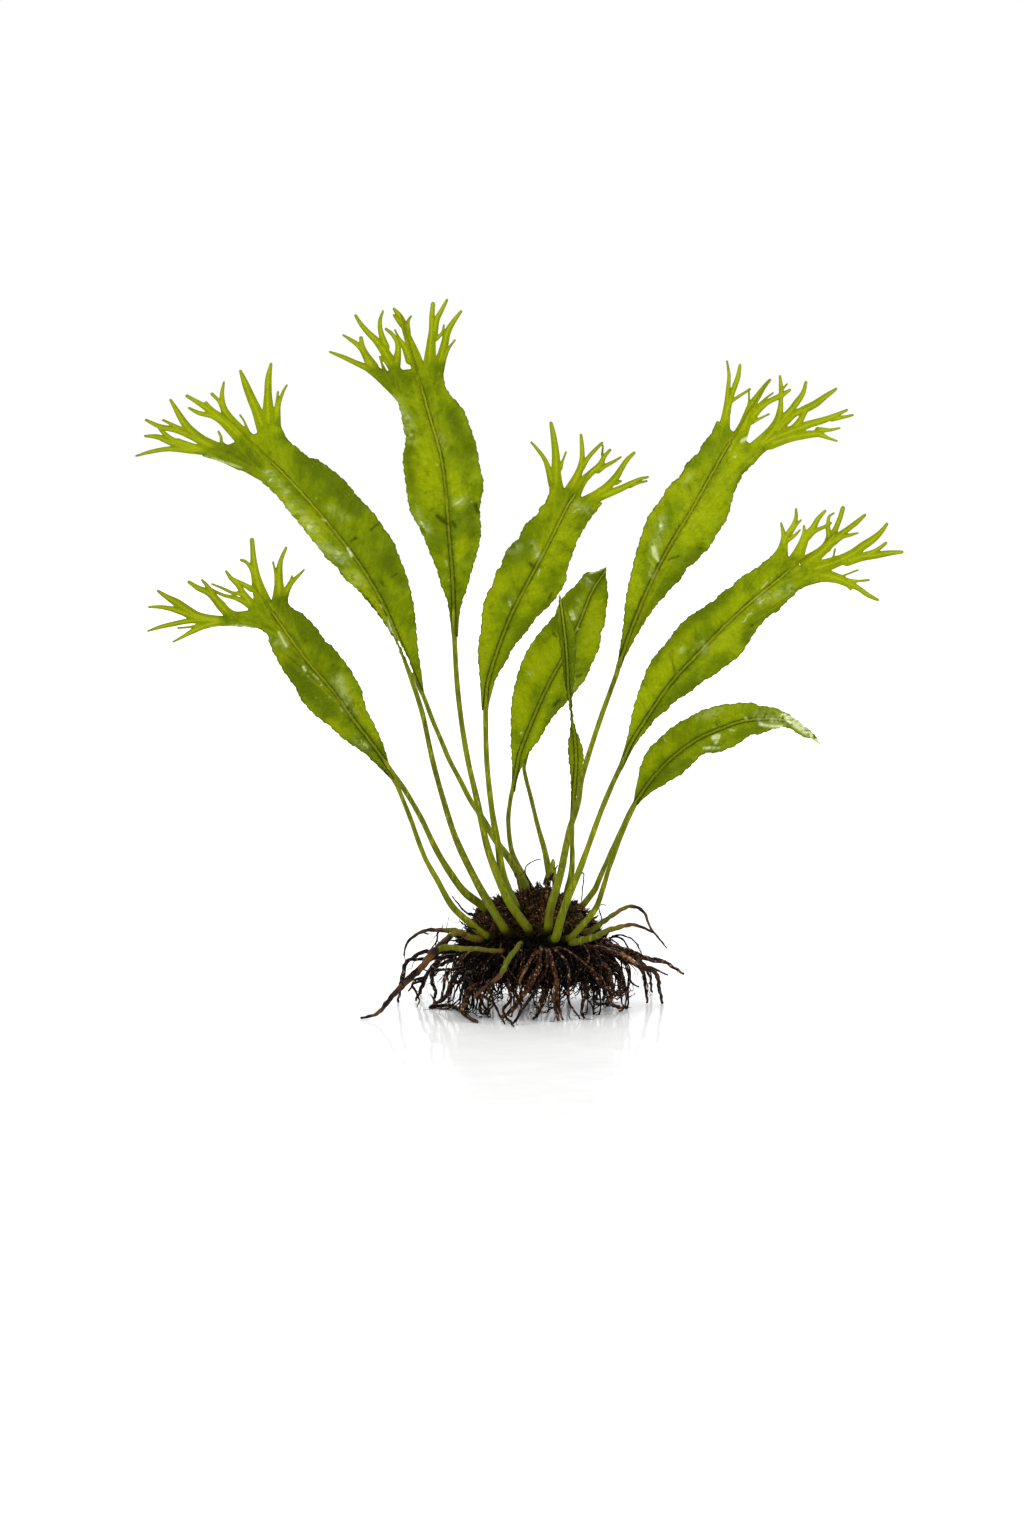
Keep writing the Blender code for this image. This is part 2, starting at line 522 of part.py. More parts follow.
def stem_points(text, radii, steps, clump):
    """Points and radii of a stem that starts clear of the clump and stays above the floor."""
    knots = []
    for column, row, depth in numbers(text):
        flat = on_sheet(column, row)
        knots.append(on_floor(flat, radii[-1]) if depth is None else at_depth(flat, depth))
    points = smooth_path(knots, steps)
    shares = [k / steps for k in range(steps + 1)]
    thick = [float(np.interp(share, (0.0, 0.5, 1.0), radii)) for share in shares]
    points = [clump.clear(point, radius + GAP) for point, radius in zip(points, thick)]
    for point, radius in zip(points, thick):
        point.z = max(point.z, radius)
    return points, thick


def finger_outline(text):
    """The outline of one tapering finger, from its column, row and width at each knot."""
    knots = numbers(text)
    line = [on_sheet(column, row) for column, row, _ in knots]
    left, right = [], []
    for k, (point, knot) in enumerate(zip(line, knots)):
        along = (line[min(k + 1, len(line) - 1)] - line[max(k - 1, 0)]).normalized()
        side = Vector((-along.y, along.x)) * (knot[2] * MM_PER_PX / 2)
        left.append(point + side)
        right.append(point - side)
    return left + right[::-1]


def blade_outline(frond):
    left = [on_sheet(column, row) for column, row in numbers(frond["left"])]
    right = [on_sheet(column, row) for column, row in numbers(frond["right"])]
    if left[-1] == right[-1]:
        right.pop()
    return left + right[::-1]


def edge_loops(triangles):
    """The closed border loops of a set of triangles."""
    borders = {}
    for triangle in triangles:
        for a, b in zip(triangle, (*triangle[1:], triangle[0])):
            if (b, a) in borders:
                del borders[(b, a)]
            else:
                borders[(a, b)] = True
    after = {}
    for a, b in borders:
        after.setdefault(a, []).append(b)
    loops = []
    while after:
        start = next(iter(after))
        loop, here = [], start
        while here in after:
            loop.append(here)
            step = after[here].pop()
            if not after[here]:
                del after[here]
            here = step
        loops.append(loop)
    return loops


def area(loop):
    return 0.5 * sum(a.x * b.y - b.x * a.y for a, b in zip(loop, loop[1:] + loop[:1]))


def simplified(line, tolerance):
    """Fewer points for an open line, none moved further off than the tolerance."""
    if len(line) < 3:
        return line
    chord = line[-1] - line[0]
    length = chord.length or 1.0
    away = [abs(chord.x * (p.y - line[0].y) - chord.y * (p.x - line[0].x)) / length for p in line[1:-1]]
    if chord.length < 1e-6:
        away = [(p - line[0]).length for p in line[1:-1]]
    worst = max(range(len(away)), key=away.__getitem__)
    if away[worst] < tolerance:
        return [line[0], line[-1]]
    return simplified(line[: worst + 2], tolerance)[:-1] + simplified(line[worst + 1 :], tolerance)


def united_loops(outlines):
    """The border of several overlapping outlines taken together."""
    points = [point for outline in outlines for point in outline]
    faces, first = [], 0
    for outline in outlines:
        face = list(range(first, first + len(outline)))
        faces.append(face if area(outline) > 0 else face[::-1])
        first += len(outline)
    flat, _, triangles, _, _, origins = delaunay_2d_cdt(points, [], faces, 0, 1e-4)
    covered = [triangle for triangle, origin in zip(triangles, origins) if origin]
    loops = [[flat[index] for index in loop] for loop in edge_loops(covered)]
    kept = []
    for loop in loops:
        if area(loop) > 0 or abs(area(loop)) > SMALLEST_HOLE_AREA:
            half = len(loop) // 2
            near, far = loop[: half + 1], loop[half:] + loop[:1]
            kept.append(simplified(near, SIMPLIFY)[:-1] + simplified(far, SIMPLIFY)[:-1])
    outer = max(kept, key=lambda loop: abs(area(loop)))
    return [loop for loop in kept if loop is outer or area(loop) < 0]


def inside(point, loops):
    crossings = 0
    for loop in loops:
        for a, b in zip(loop, loop[1:] + loop[:1]):
            if (a.y > point.y) != (b.y > point.y):
                crossings += point.x < a.x + (b.x - a.x) * (point.y - a.y) / (b.y - a.y)
    return crossings % 2 == 1


class Sheet:
    """The bent surface of one blade: how deep it lies behind each point of the drawing sheet."""

    def __init__(self, frond):
        knots = numbers(frond["midrib"])
        self.line = [on_sheet(column, row) for column, row, _ in knots]
        self.depths = [depth for _, _, depth in knots]
        self.frond = frond

    def place(self, flat):
        """Depth at a sheet position, and how near it is to the midrib, from 1 on it to 0 away from it."""
        best = None
        for k, (a, b) in enumerate(zip(self.line, self.line[1:])):
            span = b - a
            t = (flat - a).dot(span) / span.length_squared
            t = min(1.0, max(0.0, t))
            away = (flat - (a + span * t)).length
            if best is None or away < best[0]:
                best = (away, k, t, span.normalized())
        away, k, t, along = best
        offset = flat - self.line[k]
        lateral = along.x * offset.y - along.y * offset.x
        depth = self.depths[k] + (self.depths[k + 1] - self.depths[k]) * t
        depth += self.frond["tilt"] * lateral - self.frond["fold"] * abs(lateral)
        beyond = flat - self.line[-1]
        ahead = beyond.dot((self.line[-1] - self.line[-2]).normalized())
        if self.frond["fingers"] and ahead > 0:
            heading = math.atan2(beyond.y, beyond.x)
            depth += self.frond["curl"] * ahead + self.frond["ripple"] * ahead * math.sin(4 * heading + 1.0)
        return depth, max(0.0, 1.0 - away)


def add_blade(name, frond, finish):
    """A blade with its crest: the united outline, filled, bent to depth and given its thickness."""
    outlines = [blade_outline(frond)] + [finger_outline(text) for text in frond["fingers"]]
    loops = united_loops(outlines)
    sheet = Sheet(frond)
    spine = [point for point in sheet.line[1:-1]]
    points, edges = [], []
    for loop in loops:
        first = len(points)
        points += loop
        edges += [(first + k, first + (k + 1) % len(loop)) for k in range(len(loop))]
    first = len(points)
    points += spine
    edges += [(first + k, first + k + 1) for k in range(len(spine) - 1)]
    flat, _, triangles, _, _, _ = delaunay_2d_cdt(points, edges, [], 0, 1e-4)
    filled = [t for t in triangles if inside((flat[t[0]] + flat[t[1]] + flat[t[2]]) / 3, loops)]
    used = sorted({index for triangle in filled for index in triangle})
    number = {index: k for k, index in enumerate(used)}
    filled = [[number[index] for index in triangle] for triangle in filled]
    near, far = [], []
    for index in used:
        depth, rib = sheet.place(flat[index])
        half = (EDGE_THICKNESS + (MIDRIB_THICKNESS - EDGE_THICKNESS) * rib) / 2
        near.append(at_depth(flat[index], depth - half))
        far.append(at_depth(flat[index], depth + half))
    count = len(used)
    faces = filled + [[count + index for index in triangle[::-1]] for triangle in filled]
    for loop in edge_loops(filled):
        for a, b in zip(loop, loop[1:] + loop[:1]):
            faces.append([a, b, count + b, count + a])
    return add_mesh(name, near + far, faces, finish)


def clear_scene():
    for obj in list(bpy.data.objects):
        bpy.data.objects.remove(obj)


def main():
    clear_scene()
    blade_finish = material("blade green", GREEN, 0.35)
    stipe_finish = material("stipe green", STIPE_GREEN, 0.4)
    stub_finish = material("old stub", STUB_GREEN, 0.45)
    shoot_finish = material("young shoot green", YOUNG_GREEN, 0.35)
    bark_finish = material("rhizome scales", BARK_BROWN, 0.8)
    root_finish = material("main root", ROOT_BROWN, 0.6)
    mat_finish = material("fine roots", MAT_BROWN, 0.9)

    clump = Clump([rhizome(bark_finish), root_mat(mat_finish)])
    for name, frond in FRONDS.items():
        widths = [radius * frond.get("girth", 1.0) for radius in STIPE_RADII]
        points, radii = stem_points(frond["stipe"], widths, STIPE_STEPS, clump)
        add_tube("stipe_" + name, points, radii, 6, stipe_finish)
        add_blade("blade_" + name, frond, blade_finish)
    for name, (path, *radii) in STUBS.items():
        points, radii = stem_points(path, radii, STUB_STEPS, clump)
        add_tube(name, points, radii, 6, shoot_finish if name == "young_shoot" else stub_finish)
    for number, (path, *radii) in enumerate(ROOTS, 1):
        points, radii = stem_points(path, radii, ROOT_STEPS, clump)
        add_tube(f"root_{number:02d}", points, radii, 4, root_finish)


main()
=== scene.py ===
# %% [markdown]
# # A crested java fern
# This fern grows under water on stones and driftwood. A dark, scaly rhizome carries thin stalks, called
# stipes, each stipe ends in a flat blade, and on this kind the tip of the blade forks again and again
# into a crest like an antler. Below the rhizome hangs a tangle of wiry brown roots.
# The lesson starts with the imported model, which fixes where every piece is and how large.

# %% The frame
import math

import bpy
import numpy as np
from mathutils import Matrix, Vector, noise


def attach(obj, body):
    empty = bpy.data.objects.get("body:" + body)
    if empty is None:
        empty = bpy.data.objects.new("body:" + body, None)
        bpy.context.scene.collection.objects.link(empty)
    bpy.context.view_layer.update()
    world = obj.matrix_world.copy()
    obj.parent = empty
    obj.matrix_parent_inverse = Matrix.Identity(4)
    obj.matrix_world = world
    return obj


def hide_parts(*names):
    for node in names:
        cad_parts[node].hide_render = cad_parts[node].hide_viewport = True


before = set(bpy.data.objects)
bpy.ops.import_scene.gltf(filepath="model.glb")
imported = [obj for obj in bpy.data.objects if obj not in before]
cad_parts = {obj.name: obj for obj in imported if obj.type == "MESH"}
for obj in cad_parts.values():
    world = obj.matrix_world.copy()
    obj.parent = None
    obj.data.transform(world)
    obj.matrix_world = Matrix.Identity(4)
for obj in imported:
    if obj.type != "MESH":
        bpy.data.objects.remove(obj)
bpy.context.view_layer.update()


MM = 0.001

# %% [markdown]
# ## Looking at the plant
# The fronds are drawn on a flat sheet that faces a viewer, as a plant is pressed for a herbarium. Each
# drawn point is then carried back along the viewer's line of sight to its real depth. The camera stands
# where that viewer stands, so the drawing and the render agree, and every piece still has its real
# place in the round. Sheet points are pixels of the reference picture, a quarter of a millimetre each.

# %% The drawing sheet and the camera
PLANT_HEIGHT = 177.0
TOP_ROW_PX, FLOOR_ROW_PX = 300.0, 1008.0
MM_PER_PX = PLANT_HEIGHT / (FLOOR_ROW_PX - TOP_ROW_PX)
STEM_COLUMN_PX = 530.0
SHEET_CENTRE_PX = (512.0, 768.0)
PICTURE_ROWS = 1536
VIEW_DISTANCE = 1200.0
VIEW_RISE = math.radians(7.0)
SENSOR = 36.0

TOWARD_VIEWER = np.array([0.0, -math.cos(VIEW_RISE), math.sin(VIEW_RISE)])
SHEET_UP = np.array([0.0, math.sin(VIEW_RISE), math.cos(VIEW_RISE)])


def sheet_centre():
    """The sheet's centre, at the height that puts the floor's row on the floor."""
    across = (SHEET_CENTRE_PX[0] - STEM_COLUMN_PX) * MM_PER_PX
    drop = (FLOOR_ROW_PX - SHEET_CENTRE_PX[1]) * MM_PER_PX
    reach = VIEW_DISTANCE * math.cos(VIEW_RISE)
    share = reach / (reach - drop * math.sin(VIEW_RISE))
    rise = VIEW_DISTANCE * math.sin(VIEW_RISE)
    return np.array([across, 0.0, share * (rise + drop * math.cos(VIEW_RISE)) - rise])


SHEET_CENTRE = sheet_centre()
EYE = SHEET_CENTRE + TOWARD_VIEWER * VIEW_DISTANCE


def on_sheet(columns, rows):
    """Sheet positions in millimetres from the sheet's centre."""
    columns, rows = np.asarray(columns, float), np.asarray(rows, float)
    return (columns - SHEET_CENTRE_PX[0]) * MM_PER_PX, (SHEET_CENTRE_PX[1] - rows) * MM_PER_PX


def sight_lines(u, v):
    drawn = SHEET_CENTRE + np.multiply.outer(u, [1.0, 0.0, 0.0]) + np.multiply.outer(v, SHEET_UP)
    return drawn - EYE


def at_depth(u, v, depth):
    """The points in millimetres that lie this deep behind their sheet positions."""
    sight = sight_lines(u, v)
    return EYE + sight * ((depth - EYE[1]) / sight[..., 1])[..., None]


def on_floor(u, v, height):
    """The points at this height above the floor behind their sheet positions."""
    sight = sight_lines(u, v)
    return EYE + sight * ((height - EYE[2]) / sight[..., 2])[..., None]


lens = bpy.data.cameras.new("camera")
lens.sensor_width = SENSOR
lens.lens = SENSOR * VIEW_DISTANCE / (PICTURE_ROWS * MM_PER_PX)
lens.clip_start, lens.clip_end = 0.05, 20.0
camera = bpy.data.objects.new("camera", lens)
camera.location = EYE * MM
camera.rotation_euler = (math.pi / 2 - VIEW_RISE, 0.0, 0.0)
bpy.context.scene.collection.objects.link(camera)
bpy.context.scene.camera = camera
print("camera at", [round(c, 3) for c in camera.location], "lens", round(lens.lens, 1))

# %% [markdown]
# ## Building materials and node trees in plain expressions
# A material's maths is easier to read as a formula than as a web of nodes. The class below wraps one
# output of a node, and arithmetic on it adds the Math nodes. The same builder makes Geometry Nodes
# trees, where every other node comes from one method: its type, its settings, then its inputs.


# %% A small builder for node trees
class Socket:
    """One output of a node. Arithmetic on it adds Math nodes to the same tree."""

    def __init__(self, tree, output):
        self.tree, self.output = tree, output

    def maths(self, operation, *values):
        return self.tree.add("ShaderNodeMath", {"operation": operation}, dict(enumerate(values)))

    def __add__(self, other):
        return self.maths("ADD", self, other)

    def __sub__(self, other):
        return self.maths("SUBTRACT", self, other)

    def __rsub__(self, other):
        return self.maths("SUBTRACT", other, self)

    def __mul__(self, other):
        return self.maths("MULTIPLY", self, other)

    __radd__, __rmul__ = __add__, __mul__

    def within(self, low, high):
        """0 below low, 1 above high, smooth between them; low may be the larger one."""
        turned = low > high
        stops = {"interpolation_type": "SMOOTHSTEP", "clamp": True}
        limits = {0: self, 1: min(low, high), 2: max(low, high)}
        step = self.tree.add("ShaderNodeMapRange", stops, limits)
        return 1 - step if turned else step


class Tree:
    """Adds nodes to a node tree, one line for each."""

    def __init__(self, nodes, links):
        self.nodes, self.links = nodes, links

    def add(self, kind, settings=None, inputs=None, output=0):
        node = self.nodes.new(kind)
        for name, value in (settings or {}).items():
            if name == "stops":
                self.fill_ramp(node.color_ramp, value)
            else:
                setattr(node, name, value)
        for name, value in (inputs or {}).items():
            if isinstance(value, Socket):
                self.links.new(value.output, node.inputs[name])
            else:
                node.inputs[name].default_value = value
        return Socket(self, node.outputs[output])

    @staticmethod
    def fill_ramp(ramp, stops):
        for index, (position, colour) in enumerate(stops):
            stop = ramp.elements[index] if index < 2 else ramp.elements.new(position)
            stop.position, stop.color = position, colour

    def mix(self, share, first, second):
        """A colour between two, by the share of the second."""
        return self.add("ShaderNodeMix", {"data_type": "RGBA"}, {0: share, 6: first, 7: second}, 2)

    def attribute(self, name):
        """A number that the mesh carries at each point."""
        return self.add("ShaderNodeAttribute", {"attribute_name": name}, output="Fac")

    def vector(self, name):
        return self.add("ShaderNodeAttribute", {"attribute_name": name}, output="Vector")

    def place(self):
        """Where a point is on the piece itself, in metres."""
        return self.add("ShaderNodeTexCoord", output="Object")

    def noise(self, at, scale, detail=3.0, roughness=0.55):
        inputs = {"Vector": at, "Scale": scale, "Detail": detail, "Roughness": roughness}
        return self.add("ShaderNodeTexNoise", None, inputs)

    def bump(self, height, distance, strength=1.0, normal=None):
        inputs = {"Height": height, "Distance": distance, "Strength": strength}
        if normal:
            inputs["Normal"] = normal
        return self.add("ShaderNodeBump", None, inputs)


def colour(red, green, blue):
    """A colour as the eye reads it on a screen, from 0 to 255, turned into light."""
    light = [(c / 255 / 12.92) if c <= 10 else ((c / 255 + 0.055) / 1.055) ** 2.4 for c in (red, green, blue)]
    return (*light, 1.0)


def new_material(name, **settings):
    """A material with one Principled shader and its constant settings."""
    made = bpy.data.materials.new(name)
    made.use_nodes = True
    tree = Tree(made.node_tree.nodes, made.node_tree.links)
    shader = made.node_tree.nodes["Principled BSDF"]
    for socket, value in settings.items():
        shader.inputs[socket.replace("_", " ")].default_value = value
    return made, tree, shader


def feed(tree, shader, **sockets):
    for socket, value in sockets.items():
        tree.links.new(value.output, shader.inputs[socket.replace("_", " ")])


print("node builder ready")

# %% [markdown]
# ## The blade's colour
# A wet blade shows several greens at once: darker blotches between the veins and along the margin, a dark
# double line beside the midrib, and lighter yellow veins that run out into the fingers of the crest. Light and
# shade are painted in as well: a bright yellow-green where light comes through, painted shade on the side
# that turns from the light, a painted whitish sheen and painted glints. The mesh carries how far each point
# is from the margin, the midrib and the nearest vein, so the material can paint them at any size.


# %% Blade material
def blade_material():
    made, tree, shader = new_material(
        "blade", Metallic=0.0, Specular_IOR_Level=0.04, Coat_Roughness=0.10
    )
    place = tree.place()
    edge, rib, vein = tree.attribute("edge"), tree.attribute("rib"), tree.attribute("vein")
    tip, dark, pale = tree.attribute("tip"), tree.attribute("dark"), tree.attribute("pale")
    shade, sheen = tree.attribute("shade"), tree.attribute("sheen")
    deep, bright = tree.attribute("deep"), tree.attribute("bright")
    feeder, reach = tree.attribute("feeder"), tree.attribute("reach")
    weave = {0: tree.attribute("slant"), 1: tree.attribute("away") * 0.16}
    weave = tree.add("ShaderNodeCombineXYZ", None, weave)
    streak = tree.noise(weave, 0.9, 3.0, 0.6)
    broad = tree.noise(place, 110.0, 2.0)
    cloud = tree.noise(place, 330.0, 4.0, 0.6)
    grain = tree.noise(place, 1300.0, 3.0, 0.6)
    cells = {"Vector": place, "Scale": 620.0, "Randomness": 0.9}
    cells = tree.add("ShaderNodeTexVoronoi", {"feature": "DISTANCE_TO_EDGE"}, cells)

    # The ground greens are lighter for a blade with a higher shade value: painted light and shade for each whole blade.
    low = tree.mix(shade, colour(74, 94, 0), colour(106, 126, 0))
    high = tree.mix(shade, colour(106, 124, 0), colour(146, 162, 0))
    mottle = broad * 0.6 + streak * 0.15 + cloud * 0.25
    green = tree.mix(mottle.within(0.40, 0.60), low, high)
    # Painted shade where the blade turns from the light, then painted light where light comes through it.
    green = tree.mix(deep * (0.5 + cloud * 0.4), green, colour(68, 86, 0))
    green = tree.mix(bright * (0.3 + cloud * 0.5), green, colour(152, 166, 0))
    green = tree.mix(cloud.within(0.46, 0.34) * 0.3, green, colour(64, 82, 0))
    green = tree.mix(cells.within(0.08, 0.0) * 0.22, green, colour(50, 68, 0))
    green = tree.mix(tip.within(0.0, 1.0) * 0.5, green, colour(140, 152, 0))
    green = tree.mix(edge.within(0.34, 0.05) * (0.65 - tip * 0.5), green, colour(54, 70, 0))
    green = tree.mix(vein * 0.5 * tip, green, colour(186, 194, 30))
    green = tree.mix(vein * 0.22 * (1 - tip), green, colour(62, 80, 0))
    across = rib.maths("ABSOLUTE", rib)
    green = tree.mix(across.within(3.6, 1.2) * (0.4 - reach * 0.1) * (1 - tip), green, colour(62, 78, 0))
    green = tree.mix(across.within(0.7, 0.3) * 0.6, green, colour(112, 122, 10))
    lines = across.within(0.4, 0.75) * across.within(1.5, 1.1)
    green = tree.mix(lines, green, colour(34, 44, 0))
    green = tree.mix(across.within(0.6, 0.3) * reach * 0.35, green, colour(172, 182, 24))
    green = tree.mix(feeder * (0.22 + tip * 0.35), green, colour(178, 188, 26))
    green = tree.mix(grain.within(0.52, 0.75) * 0.25, green, colour(58, 76, 0))
    flecks = tree.noise(place, 2300.0, 2.0, 0.5)
    green = tree.mix(flecks.within(0.58, 0.68) * (0.2 + bright * 0.25), green, colour(172, 188, 24))
    # Painted whitish sheen where the wet blade reflects light; the same mask also makes the coat glossy there.
    wet_sheen = sheen * (streak * 0.2 + cloud * 0.45 + grain * 0.35).within(0.42, 0.58)
    green = tree.mix(wet_sheen * 0.33, green, colour(190, 204, 112))
    green = tree.mix(dark * grain.within(0.22, 0.42) * 0.95, green, colour(26, 36, 0))
    # Painted glints, and the whitened dry tips of some blades, from the pale strokes; then tiny painted glints on them
    # and on the sheen.
    glint_and_dry_patch = pale * (cloud * 0.5 + grain * 0.5).within(0.38, 0.52)
    green = tree.mix(glint_and_dry_patch * 0.85, green, colour(212, 220, 160))
    glint = grain.within(0.66, 0.70) * (pale + sheen * 0.5).within(0.2, 0.8)
    green = tree.mix(glint, green, colour(244, 246, 226))

    roughness = 0.36 + (grain - 0.5) * 0.3
    relief = tree.bump(cloud, 0.0016, 0.4)
    relief = tree.bump(grain, 0.0003, 0.4, relief)
    feed(tree, shader, Base_Color=green, Roughness=roughness, Coat_Weight=wet_sheen + glint_and_dry_patch, Normal=relief)

    through = tree.add("ShaderNodeBsdfTranslucent", None, {"Color": colour(196, 204, 0)})
    blend = tree.add("ShaderNodeMixShader", None, {0: 0.26})
    out = made.node_tree.nodes["Material Output"]
    tree.links.new(shader.outputs[0], blend.output.node.inputs[1])
    tree.links.new(through.output, blend.output.node.inputs[2])
    tree.links.new(blend.output, out.inputs["Surface"])
    return made


blade_finish = blade_material()
print("made", blade_finish.name)


# %% Stipe material
def stipe_material():
    """Olive stalks, brighter on their ridges and brown towards the rhizome, painted near-black as shade at the very
    base where they go into it.
    """
    made, tree, shader = new_material(
        "stipe", Metallic=0.0, Specular_IOR_Level=0.08
    )
    place = tree.place()
    along, age = tree.attribute("along"), tree.attribute("age")
    streak = tree.noise(tree.add("ShaderNodeMapping", None, {"Vector": place, "Scale": (1.0, 1.0, 0.12)}), 1500.0)
    blotch = tree.noise(place, 160.0, 3.0)
    green = tree.mix(blotch.within(0.3, 0.7), colour(80, 88, 0), colour(108, 116, 0))
    green = tree.mix(streak.within(0.52, 0.72) * 0.6, green, colour(150, 158, 16))
    green = tree.mix(streak.within(0.45, 0.30) * 0.6, green, colour(54, 58, 0))
    green = tree.mix(along.within(0.25, 0.06) * blotch.within(0.44, 0.60) * 0.6, green, colour(66, 62, 0))
    green = tree.mix(along.within(0.18, 0.05) * streak.within(0.54, 0.62) * 0.7, green, colour(50, 38, 4))
    # Painted shade: near-black at the very base, where the stalk goes into the rhizome.
    green = tree.mix(along.within(0.05, 0.03) * 0.9, green, colour(22, 12, 5))
    woody = tree.mix(blotch.within(0.4, 0.6), colour(26, 15, 9), colour(84, 54, 26))
    green = tree.mix((age * 2 + blotch - 0.75).within(0.0, 1.0), green, woody)
    relief = tree.bump(streak, 0.0002, 0.4)
    feed(tree, shader, Base_Color=green, Roughness=0.36 + blotch * 0.15, Normal=relief)
    return made


stipe_finish = stipe_material()
print("made", stipe_finish.name)
